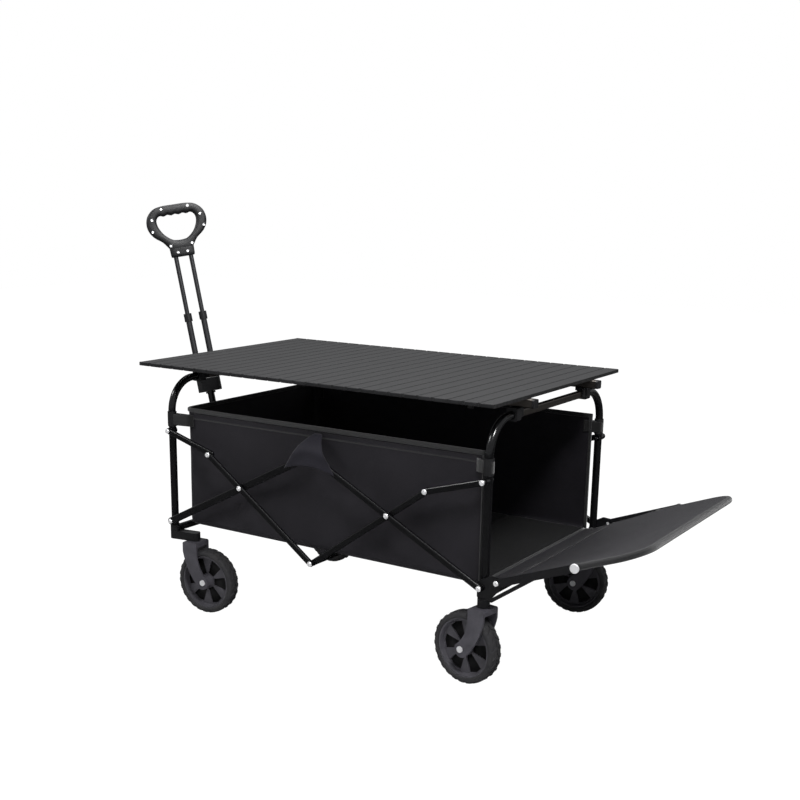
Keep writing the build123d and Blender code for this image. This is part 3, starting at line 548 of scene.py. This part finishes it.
def make_basket():
    """The tub: one wall round three sides that turns in under a floor, with bound edges and a hem."""
    at, total = tub_outline()
    wall_height = TUB_HIGH_Z - TUB_LOW_Z
    turn_in = 0.03
    drop = wall_height - FOOT_R
    bend = FOOT_R * pi / 2
    down = drop + bend + turn_in

    def wall(u, v):
        x, y, out_x, out_y = at(u)
        run = v * down
        if run <= drop:
            z, inward = TUB_HIGH_Z - run, 0.0
        elif run <= drop + bend:
            turn = (run - drop) / FOOT_R
            z, inward = TUB_LOW_Z + FOOT_R * (1 - sin(turn)), FOOT_R * (1 - cos(turn))
        else:
            z, inward = TUB_LOW_Z, FOOT_R + run - drop - bend
        z = max(z, TUB_LOW_Z + CLOTH / 2)
        slack = wall_slack(x, y, z, out_x, out_y)
        return Vector((x + out_x * (slack - inward), y + out_y * (slack - inward), z))

    columns = 300
    walls = piece("basket_wall", *cloth_shell(wall, 46, columns, CLOTH * 0.6), "basket_fabric", "front_frame")
    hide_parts("basket")

    floor_z = TUB_LOW_Z + CLOTH / 2
    inset = FOOT_R + 0.004

    def floor(u, v):
        x = TUB_FRONT_X + inset + u * (TUB_TAIL_X - TUB_FRONT_X - inset)
        y = (v * 2 - 1) * (HALF_Y - inset)
        return Vector((x, y, floor_z + 0.0004 * ripple((x, y, 0), 9, 2.2)))

    bottom = piece("basket_bottom", *cloth_shell(floor, 24, 40, CLOTH * 0.5), "basket_fabric", "front_frame",
                   material=MATERIALS["bottom_cloth"])

    rim_z = TUB_HIGH_Z - 0.0045
    rim = [Vector((*at(i / (EDGE_STEPS - 1))[:2], rim_z)) for i in range(EDGE_STEPS)]
    binding = piece("basket_rim_binding", *swept(rim, rounded(2 * BINDING, 0.011, 0.003)), "basket_fabric",
                    "front_frame", material=MATERIALS["binding"])
    hem = wall_line(HEM_DROP, EDGE_STEPS)
    hem_band = piece("basket_hem_fold", *swept(hem, rounded(0.0012, 0.0026, 0.0005, 2)), "basket_fabric",
                     "front_frame", material=MATERIALS["binding"])

    edges = []
    edge_x = TUB_TAIL_X - 0.003
    for side in (-1, 1):
        upright = [
            Vector((edge_x, side * (HALF_Y - CLOTH / 2), TUB_LOW_Z + 0.004 + i * (wall_height - 0.012) / 20))
            for i in range(21)
        ]
        edges.append(swept(upright, rounded(0.009, 2 * BINDING - 0.001, 0.003), up=Vector((1, 0, 0))))
    sill_half = HALF_Y - 0.004
    sill = [Vector((edge_x, sill_half * (i / 10 - 1), TUB_LOW_Z + 0.0035)) for i in range(21)]
    edges.append(swept(sill, rounded(0.010, 0.0066, 0.003)))
    tail_edge = piece("basket_tail_binding", *joined(*edges), "basket_fabric", "front_frame",
                      material=MATERIALS["binding"])
    return walls, bottom, binding, hem_band, tail_edge


def make_corner_tabs():
    """A doubled cloth tab at each corner that laps round the leg's collar."""
    made = []
    for end, leg_x, wall_x in (("front", FRONT_LEG_X, TUB_FRONT_X), ("tail", TAIL_LEG_X, TUB_TAIL_X)):
        toward = 1 if wall_x > leg_x else -1
        parts = []
        for side in (-1, 1):
            reach = COLLAR_R + 0.0012
            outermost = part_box(f"{end}_collars")[1].y - 0.0018
            back = []
            for i in range(15):
                angle = pi / 2 + pi * i / 14
                back.append((leg_x + toward * reach * cos(angle), min(outermost, LEG_Y + reach * sin(angle))))
            wall_y = HALF_Y - 0.0015
            lead_in = wall_x + toward * 0.03 if end == "front" else leg_x - 0.035
            route = [(lead_in, wall_y + 0.0028)] + back + [(lead_in, wall_y - 0.0032)]

            def tab(u, v, route=route, side=side):
                run = u * (len(route) - 1)
                i = min(int(run), len(route) - 2)
                share = run - i
                x = route[i][0] * (1 - share) + route[i + 1][0] * share
                y = route[i][1] * (1 - share) + route[i + 1][1] * share
                pinch = 0.004 * sin(pi * min(1, u * 2 if u < 0.5 else (1 - u) * 2))
                z = COLLAR_Z - 0.001 + (v - 0.5) * (TAB_HEIGHT - pinch)
                return Vector((x, side * y, z))

            parts.append(cloth_shell(tab, 9, 52, 0.0016))
        tab_piece = piece(
            f"{end}_corner_tabs", *joined(*parts), "basket_fabric", None, material=MATERIALS["corner_tab"],
        )
        made.append((end, tab_piece))
    return made


def make_floor_board():
    """The stiffened floor mat: four boards in one cloth, with folds between them and a stitched edge."""
    low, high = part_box("basket_floor")
    folds = 3
    crease_reach, stitch_inset, roll_reach = 0.009, 0.012, 0.005

    def height(x, y):
        along = (x - low.x) / (high.x - low.x)
        fold = min(abs(along - (i + 1) / (folds + 1)) for i in range(folds)) * (high.x - low.x)
        edge = min(x - low.x, high.x - x, y - low.y, high.y - y)
        crease = 0.0022 * (1 - min(1, fold / crease_reach) ** 2)
        stitch = 0.0012 * max(0.0, 1 - abs(edge - stitch_inset) / 0.003)
        roll = 0.0024 * max(0.0, 1 - edge / roll_reach) ** 2
        return crease + stitch + roll + 0.0003 * ripple((x, y, 0), 14, 5.5)

    rows, columns = 60, 120
    upper, lower = [], []
    for r in range(rows):
        for c in range(columns):
            x = low.x + (high.x - low.x) * c / (columns - 1)
            y = low.y + (high.y - low.y) * r / (rows - 1)
            drop = height(x, y)
            upper.append(Vector((x, y, high.z - drop)))
            lower.append(Vector((x, y, low.z + min(0.001, drop))))
    board = piece("basket_floor_mat", upper + lower, shell_faces(rows, columns), "floor_board", "front_frame")
    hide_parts("basket_floor")
    return board


def make_flaps():
    """A soft triangular flap on each side over the linkage's peak, hung from the tub's rim."""
    low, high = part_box("basket_flaps")
    outer_y = high.y - 0.0012
    centre, reach = (low.x + high.x) / 2, (high.x - low.x) / 2
    corner_z, point_z = low.z, low.z + 0.014
    top_z = TUB_HIGH_Z - 0.016
    top_half = 0.010
    parts = []
    for side in (-1, 1):
        def flap(u, v, side=side):
            across_share = u * 2 - 1
            lower_z = corner_z + 0.002 + (point_z - corner_z) * (1 - across_share ** 2)
            half = top_half + (reach - top_half) * v ** 0.85
            z = top_z + (lower_z - top_z) * v
            fold_out = 1 - (1 - min(1, v / 0.55)) ** 2
            y = HALF_Y + 0.002 + (outer_y - HALF_Y - 0.002) * fold_out
            sag = 0.0016 * ripple((u * 0.2, v * 0.2, side), 16, 4.4) - 0.004 * abs(across_share) ** 3 * v
            return Vector((centre + across_share * half, side * (y + sag), z))

        parts.append(cloth_shell(flap, 26, 31, 0.002))
    flaps = piece(
        "peak_flaps", *joined(*parts), "basket_fabric", "front_frame", material=MATERIALS["flap_cloth"],
    )
    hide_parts("basket_flaps")
    return flaps


# ---------------------------------------------------------------------------------------------
# Tail panel
# ---------------------------------------------------------------------------------------------

GATE_TUBE_R = 0.006       # the bent tube round the panel
GATE_TURN = radians(20.8)  # the panel's rise from level at rest
GATE_OUT = Vector((cos(GATE_TURN), 0, sin(GATE_TURN)))
GATE_UP = Vector((-sin(GATE_TURN), 0, cos(GATE_TURN)))
GATE_TUBE_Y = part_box("tailgate_frame")[1].y - GATE_TUBE_R
GATE_BEND = 0.062         # the radius of the tube's corners
GATE_END_S = 0.349        # from the hinge to the panel's far edge
ROOT_HALF_Y = 0.2895      # half the cloth's width near the hinge
HINGE = Vector((TAIL_LEG_X + 0.0365, 0, 0.253))
SLEEVE_R = GATE_TUBE_R + 0.0018


def gate_point(s, y, t):
    """A place on the tail panel: s out from its hinge, y across and t square to it."""
    return HINGE + GATE_OUT * s + Vector((0, y, 0)) + GATE_UP * t


def make_tail_panel():
    """The tail panel's cloth: slung across its bent tube, with a sewn sleeve round the tube."""
    reach = (mid("tailgate_knobs") - HINGE).dot(GATE_OUT)
    start_s, sleeve_s = 0.022, reach - 0.055
    straight = GATE_END_S - GATE_BEND

    def half_width(s):
        if s <= straight:
            ease = min(1.0, max(0.0, (s - sleeve_s + 0.05) / 0.05))
            return ROOT_HALF_Y + (GATE_TUBE_Y - ROOT_HALF_Y) * ease * ease * (3 - 2 * ease)
        along = min(1.0, (s - straight) / GATE_BEND)
        return GATE_TUBE_Y - GATE_BEND + GATE_BEND * (1 - along * along) ** 0.5

    def row_place(v):
        """Rows crowd towards the end, where the outline turns."""
        first = 0.72
        if v <= first:
            return start_s + (straight - start_s) * v / first
        return straight + GATE_BEND * sin(pi / 2 * (v - first) / (1 - first))

    def cloth(u, v):
        s = row_place(v)
        across_share = -cos(pi * u)
        y = across_share * half_width(s)
        slung = 1 - across_share ** 2
        out = (s - start_s) / (GATE_END_S - start_s)
        rise = SLEEVE_R * 0.8 * min(1.0, max(0.0, (s - 0.05) / 0.1))
        belly = -0.014 * slung ** 0.8 * sin(pi * min(1, out)) ** 0.9
        ruffle = 0.0012 * slung * ripple((s, y * 0.5, 0), 9, 6.1)
        return gate_point(s, y, rise + belly + ruffle)

    panel = piece("tail_panel_cloth", *cloth_shell(cloth, 64, 61, 0.0018), "tail_fabric", "tailgate")
    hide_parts("tailgate_panel")

    route = []
    for i in range(12):
        route.append((sleeve_s + (straight - sleeve_s) * i / 12, -GATE_TUBE_Y))
    for i in range(13):
        turn = pi / 2 * i / 12
        route.append((straight + GATE_BEND * sin(turn), -GATE_TUBE_Y + GATE_BEND * (1 - cos(turn))))
    half = GATE_TUBE_Y - GATE_BEND
    route += [(GATE_END_S, -half + 2 * half * i / 24) for i in range(1, 25)]
    for i in range(1, 13):
        turn = pi / 2 * i / 12
        route.append((straight + GATE_BEND * cos(turn), half + GATE_BEND * sin(turn)))
    route += [(straight - (straight - sleeve_s) * i / 12, GATE_TUBE_Y) for i in range(1, 13)]
    path = [gate_point(s, y, 0) for s, y in route]
    sleeve = piece(
        "tail_panel_sleeve", *swept(path, ring(SLEEVE_R, 16), up=GATE_UP), "tail_fabric", "tailgate",
        material=MATERIALS["binding"],
    )
    return panel, sleeve


def make_tail_apron():
    """The cloth that runs from the tub's floor over the crossbar to the tail panel, bending at the hinge."""
    start = Vector((TUB_TAIL_X - 0.004, 0, TUB_LOW_Z + 0.004))
    end = gate_point(0.030, 0, 0.0)
    middle = Vector((TAIL_LEG_X + 0.016, 0, TUB_LOW_Z + 0.006))
    inner_y, outer_y = LEG_Y - TUBE_R - 0.0015, 0.2885

    def apron(u, v):
        place = start * (1 - v) ** 2 + middle * (2 * v * (1 - v)) + end * v ** 2
        half = inner_y + (outer_y - inner_y) * min(1.0, max(0.0, (place.x - TAIL_LEG_X - 0.012) / 0.012))
        across_share = u * 2 - 1
        sag = -0.003 * (1 - across_share ** 2) * sin(pi * v)
        return Vector((place.x, across_share * half, place.z + sag + 0.0006 * ripple((u, v, 0), 5, 7.7)))

    made = piece("tail_apron", *cloth_shell(apron, 22, 41, 0.0018), "tail_fabric")
    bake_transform(made)
    return made


# ---------------------------------------------------------------------------------------------
# Wheels
# ---------------------------------------------------------------------------------------------

LUGS = 26                 # tread blocks on each side
LUG_SHARE = 0.6           # of the pitch that a block covers
TYRE_HALF = 0.019         # half the tyre's width


def make_tyre(place):
    """One tyre: a smooth side ring and round shoulders under two staggered rows of slanted tread blocks, with
    a near-black disc in the hub that paints the shade in its windows.
    """
    node = f"{place}_tyre"
    corners = [v.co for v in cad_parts[f"{place}_axle"].data.vertices]
    centre = mid(f"{place}_axle")
    near = [c for c in corners if c.y < centre.y]
    far = [c for c in corners if c.y >= centre.y]
    axle = (sum(far, Vector()) / len(far) - sum(near, Vector()) / len(near)).normalized()
    outer, inner = size(node).z / 2, size(f"{place}_hub").z / 2
    half = TYRE_HALF
    upright = Vector((0, 0, 1))
    forward = axle.cross(upright).normalized()

    def at(a, r, turn):
        return centre + axle * a + (forward * cos(turn) + upright * sin(turn)) * r

    profile = [
        (-half + 0.003, inner), (-half + 0.0008, inner + 0.001), (-half, inner + 0.0035),
        (-half, inner + 0.0075), (-half + 0.0014, outer - 0.0045), (-half + 0.0045, outer - 0.0024),
        (0, outer - 0.0022), (half - 0.0045, outer - 0.0024), (half - 0.0014, outer - 0.0045),
        (half, inner + 0.0075), (half, inner + 0.0035), (half - 0.0008, inner + 0.001), (half - 0.003, inner),
    ]
    turns = 96
    points = [at(a, r, tau * i / turns) for i in range(turns) for a, r in profile]
    width = len(profile)
    parts = [(points, torus_faces(turns, width))]
    pitch = tau / LUGS
    crest = [
        (half - 0.0002, outer - 0.0055, 0.0), (half - 0.0014, outer - 0.003, 0.0),
        (half - 0.004, outer - 0.0012, 0.06), (half - 0.009, outer - 0.0003, 0.25),
        (0.0018, outer - 0.0003, 0.55),
    ]
    for side in (-1, 1):
        for i in range(LUGS):
            start = pitch * (i + (0.5 if side > 0 else 0))
            lug, count = [], len(crest)
            for a, r, lean in crest:
                first, last = start + pitch * lean, start + pitch * (lean + LUG_SHARE)
                slope = pitch * 0.08
                base = min(r, outer - 0.0045) - 0.0015
                inset = 0.0018 if a > half - 0.001 else 0.0
                lug += [
                    at(side * (a - inset), base, first), at(side * a, r, first + slope),
                    at(side * a, r, last - slope), at(side * (a - inset), base, last),
                ]
            lug_faces = grid_faces(count, 4, wrap=True)
            lug_faces += [(3, 2, 1, 0), tuple(range(4 * count - 4, 4 * count))]
            parts.append((lug, lug_faces))
    tyre = piece(f"{place}_tyre_tread", *joined(*parts), "tyre", f"{place}_wheel", smooth=False)
    for polygon in tyre.data.polygons[:turns * width]:
        polygon.use_smooth = True
    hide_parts(node)
    # a thin near-black disc across the hub's windows: painted shade
    shade_disc = []
    boss, rim = 0.014, inner - 0.004
    for a, r in ((-0.0015, boss), (-0.0015, rim), (0.0015, rim), (0.0015, boss)):
        shade_disc.append([at(a, r, tau * i / turns) for i in range(turns)])
    shade_disc_points = [point for loop in shade_disc for point in loop]
    piece(
        f"{place}_hub_window_shade", shade_disc_points, torus_faces(len(shade_disc), turns), "hub_plastic", f"{place}_wheel",
        material=MATERIALS["wheel_web"],
    )
    return tyre


# ---------------------------------------------------------------------------------------------
# Table
# ---------------------------------------------------------------------------------------------

def make_slat_caps():
    """A moulded cap closing each slat's two ends, with rounded corners and a small gap to its neighbour."""
    low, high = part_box("table_slats")
    pitch = (high.x - low.x + SLAT_GAP) / SLAT_COUNT
    proud, inset, round_off = 0.0022, 0.0018, 0.0012
    parts = []
    for side in (-1, 1):
        edge = high.y if side > 0 else low.y
        for i in range(SLAT_COUNT):
            first = low.x + pitch * i + inset
            last = low.x + pitch * (i + 1) - SLAT_GAP - inset
            cap = []
            for out, shrink in ((-0.004, 0.0), (proud - round_off, 0.0), (proud, round_off)):
                for x, z in (
                    (first + shrink, low.z - 0.0004 + shrink), (last - shrink, low.z - 0.0004 + shrink),
                    (last - shrink, high.z + 0.0006 - shrink), (first + shrink, high.z + 0.0006 - shrink),
                ):
                    cap.append((x, edge + side * out, z))
            parts.append((cap, grid_faces(3, 4, wrap=True) + [(3, 2, 1, 0), (8, 9, 10, 11)]))
    return piece("table_slat_caps", *joined(*parts), "plastic_black", "table", smooth=False)


# ---------------------------------------------------------------------------------------------
# Handle grip
# ---------------------------------------------------------------------------------------------

HANDLE_LEAN = radians(13.5)   # the handle's lean away from the tub
HANDLE_TURN = radians(-42.0)  # the grip's turn about the handle
HANDLE_UP = Vector((-sin(HANDLE_LEAN), 0, cos(HANDLE_LEAN)))
HANDLE_SIDE = Vector((cos(HANDLE_LEAN), 0, sin(HANDLE_LEAN)))
GRIP_FACE = HANDLE_SIDE * cos(HANDLE_TURN) + Vector((0, 1, 0)) * sin(HANDLE_TURN)
GRIP_ACROSS = Vector((0, 1, 0)) * cos(HANDLE_TURN) - HANDLE_SIDE * sin(HANDLE_TURN)
GRIP_BASE_S = 0.704       # up the handle from its hinge
GRIP_HALF_T = 0.012
WAVE_DEPTH, WAVE_LENGTH = 0.0016, 0.021  # the finger waves inside the grip's top


def smooth_loop(points, count):
    """A closed curve through the points, sampled evenly in its parameter."""
    out, number = [], len(points)
    for i in range(count):
        place = i * number / count
        k, t = int(place), place - int(place)
        a, b, c, d = (Vector(points[(k + j) % number]) for j in (-1, 0, 1, 2))
        square, cube = 2 * a - 5 * b + 4 * c - d, 3 * b - a - 3 * c + d
        out.append(0.5 * (2 * b + (c - a) * t + square * t * t + cube * t ** 3))
    return out


def make_grip():
    """The grip: a moulded ring, wide at the top with finger waves inside, in two shells closed on a neck."""
    hinge = mid("handle_hinge_pin")
    base = Vector((hinge.x, 0, hinge.z)) + HANDLE_UP * GRIP_BASE_S
    outer_half = [
        (0, 142), (34, 141.5), (58, 136), (76, 120), (83, 99),
        (80, 78), (68, 60), (48, 44), (36, 28), (24, 14),
    ]
    inner_half = [
        (0, 117), (28, 117), (45, 115.5), (53, 107), (54.5, 96),
        (51, 82), (42, 66), (30, 54), (19, 47), (9, 45),
    ]

    def whole(half_points, bottom):
        right = [(x / 1000, y / 1000, 0) for x, y in half_points]
        left = [(-x, y, 0) for x, y, _ in reversed(right[1:])]
        return right + [(0, bottom / 1000, 0)] + left

    count = 120
    outer = smooth_loop(whole(outer_half, 12), count)
    inner = smooth_loop(whole(inner_half, 44.5), count)
    for point in inner:
        if point.y > 0.112 and abs(point.x) < 0.045:
            point.y += WAVE_DEPTH * cos(tau * point.x / WAVE_LENGTH) - WAVE_DEPTH
    steps, power, neck_power, seam = 12, 3.4, 5, 0.00015
    width = steps + 1
    halves = []
    for side in (1, -1):
        points = []
        for out, inn in zip(outer, inner):
            centre, reach = (out + inn) / 2, (out - inn) / 2
            for k in range(width):
                angle = pi * k / steps
                c, n = cos(angle), sin(angle)
                wide = (abs(c) ** (2 / power)) * (1 if c >= 0 else -1)
                high = abs(n) ** (2 / power) * GRIP_HALF_T
                spot = centre + reach * wide
                points.append(
                    base + GRIP_ACROSS * spot.x + HANDLE_UP * spot.y + GRIP_FACE * side * max(seam, high)
                )
        faces = torus_faces(count, width)
        neck = []
        levels = (
            (-0.0005, 31, 10.0), (0.001, 32.5, 11.4), (0.006, 33, 12),
            (0.018, 33.5, 12), (0.030, 34, 11.6), (0.040, 28, 10.6),
        )
        for rise, half_width, half_deep in levels:
            for k in range(width):
                angle = pi * k / steps
                c, n = cos(angle), sin(angle)
                wide = abs(c) ** (2 / neck_power) * (1 if c >= 0 else -1) * half_width / 1000
                high = abs(n) ** (2 / neck_power) * half_deep / 1000
                neck.append(base + GRIP_ACROSS * wide + HANDLE_UP * rise + GRIP_FACE * side * max(seam, high))
        top_row = width * (len(levels) - 1)
        neck_faces = grid_faces(len(levels), width, wrap=True)
        neck_faces += [tuple(range(steps, -1, -1)), tuple(range(top_row, top_row + width))]
        name = "grip_front_shell" if side > 0 else "grip_back_shell"
        shell = piece(name, *joined((points, faces), (neck, neck_faces)), "plastic_black", "handle_grip")
        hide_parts("grip_inner_half" if side > 0 else "grip_outer_half")
        halves.append(shell)
    return halves


# ---------------------------------------------------------------------------------------------
# Stitches
# ---------------------------------------------------------------------------------------------

def stitches(name, path, spacing, out, slot, body):
    """A row of short thread stitches along a path; out(place) is the cloth's outward direction there."""
    parts, run, thread = [], 0.0, []
    for a, b in zip(path, path[1:]):
        length = (b - a).length
        while run < length:
            thread.append((a + (b - a) * (run / length), (b - a).normalized()))
            run += spacing
        run -= length
    for place, ahead in thread:
        rise = out(place)
        side = ahead.cross(rise).normalized()
        half_long, half_wide, high = spacing * 0.32, 0.0004, 0.0005
        stitch = []
        for along, wide, tall in ((-1, 0.4, 0.0), (-0.55, 1, 1), (0.55, 1, 1), (1, 0.4, 0.0)):
            for across_share, lift in ((-1, -0.6), (-0.6, 1), (0.6, 1), (1, -0.6)):
                stitch.append(
                    place + ahead * along * half_long + side * across_share * wide * half_wide
                    + rise * (lift * high * max(tall, 0.15))
                )
        faces = grid_faces(4, 4, wrap=True) + [(3, 2, 1, 0), (12, 13, 14, 15)]
        parts.append((stitch, faces))
    return piece(name, *joined(*parts), slot, body, material=MATERIALS["thread"])


def make_hem_stitches():
    """Two rows of thread under the tub's rim."""
    def outward(place):
        if place.x < TUB_FRONT_X + CORNER_R and abs(place.y) < HALF_Y - CORNER_R * 0.5:
            return Vector((-1, 0, 0))
        return Vector((0, 1 if place.y > 0 else -1, 0))

    rows = []
    for number, drop in enumerate(THREAD_DROPS):
        name = f"basket_hem_thread_{number + 1}"
        path = wall_line(drop, 400)
        rows.append(stitches(name, path, THREAD_SPACING, outward, "basket_fabric", "front_frame"))
    return rows


# ---------------------------------------------------------------------------------------------
# Studio and camera
# ---------------------------------------------------------------------------------------------

def studio():
    """A pale floor, a white surround and soft lights."""
    scene = bpy.context.scene
    scene.view_settings.view_transform = "Standard"
    world = bpy.data.worlds.new("studio")
    scene.world = world
    world.use_nodes = True
    tree = world.node_tree
    dim = tree.nodes["Background"]
    dim.inputs["Color"].default_value = (0.97, 0.98, 1, 1)
    dim.inputs["Strength"].default_value = 0.3
    backdrop = tree.nodes.new("ShaderNodeBackground")
    backdrop.inputs["Color"].default_value = (1, 1, 1, 1)
    shown = tree.nodes.new("ShaderNodeMixShader")
    tree.links.new(tree.nodes.new("ShaderNodeLightPath").outputs["Is Camera Ray"], shown.inputs["Fac"])
    tree.links.new(dim.outputs[0], shown.inputs[1])
    tree.links.new(backdrop.outputs[0], shown.inputs[2])
    tree.links.new(shown.outputs[0], tree.nodes["World Output"].inputs["Surface"])

    floor_mesh = bpy.data.meshes.new("studio_floor")
    half = 9.0
    corners = [(-half, -half, 0), (half, -half, 0), (half, half, 0), (-half, half, 0)]
    floor_mesh.from_pydata(corners, [], [(0, 1, 2, 3)])
    floor = bpy.data.objects.new("studio_floor", floor_mesh)
    scene.collection.objects.link(floor)
    paint = Shader("studio paint", (0.93, 0.93, 0.93), 0.75)
    paint.colour(paint.mix(paint.noise(1.5, 3), (0.92, 0.92, 0.92), (0.94, 0.94, 0.94)))
    nodes, links = paint.material.node_tree.nodes, paint.material.node_tree.links
    ray = nodes.new("ShaderNodeLightPath").outputs
    glow = nodes.new("ShaderNodeEmission")
    links.new(paint.maths("MULTIPLY", ray["Is Camera Ray"], 1.08), glow.inputs["Strength"])
    white = nodes.new("ShaderNodeMixShader")
    either = paint.maths("MAXIMUM", ray["Is Camera Ray"], ray["Is Glossy Ray"])
    links.new(paint.maths("MULTIPLY", either, 0.93), white.inputs["Fac"])
    links.new(paint.surface.outputs[0], white.inputs[1])
    links.new(glow.outputs[0], white.inputs[2])
    links.new(white.outputs[0], nodes["Material Output"].inputs["Surface"])
    floor_mesh.materials.append(paint.material)

    def area_light(name, place, target, width, depth, power):
        light = bpy.data.lights.new(name, "AREA")
        light.shape = "RECTANGLE"
        light.size = width
        light.size_y = depth
        light.energy = power
        lamp = bpy.data.objects.new(name, light)
        scene.collection.objects.link(lamp)
        lamp.location = place
        lamp.rotation_euler = (Vector(target) - Vector(place)).to_track_quat("-Z", "Y").to_euler()

    area_light("key_softbox", (-2.4, -2.2, 2.8), (0, 0, 0.4), 0.8, 0.8, 36)
    area_light("fill_softbox", (1.96, -1.68, 3.44), (0, 0, 0.4), 0.6, 0.9, 105)
    area_light("top_softbox", (0.0, 0.4, 3.6), (0, 0, 0.3), 3.2, 2.4, 115)


def camera():
    """The camera, from its direction, distance and framing."""
    target = Vector((MID_X, 0, 0.3117))
    azimuth, elevation, roll = radians(33.42), radians(14.32), radians(0.77)
    distance = 3.1129
    away = Vector((sin(azimuth) * cos(elevation), -cos(azimuth) * cos(elevation), sin(elevation)))
    right = Vector((cos(azimuth), sin(azimuth), 0))
    up = away.cross(right)
    right, up = right * cos(roll) + up * sin(roll), up * cos(roll) - right * sin(roll)
    data = bpy.data.cameras.new("camera")
    data.lens = 53.78
    data.shift_x = 0.0204
    data.shift_y = 0.1201
    view = bpy.data.objects.new("camera", data)
    bpy.context.scene.collection.objects.link(view)
    axes = Matrix((right, up, away)).transposed().to_4x4()
    view.matrix_world = Matrix.Translation(target + away * distance) @ axes
    bpy.context.scene.camera = view


# ---------------------------------------------------------------------------------------------
# The scene
# ---------------------------------------------------------------------------------------------

dress_cad_nodes()
studio()
camera()

tub = make_basket()
mat = make_floor_board()
flaps = make_flaps()
threads = make_hem_stitches()
make_tail_panel()
make_tail_apron()
for caster in ("front_near", "front_far", "tail_near", "tail_far"):
    make_tyre(caster)
make_grip()
make_slat_caps()
for tab_end, tabs in make_corner_tabs():
    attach(tabs, "front_frame" if tab_end == "front" else "tail_frame")
for soft in (*tub, mat, flaps, *threads):
    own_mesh(soft)
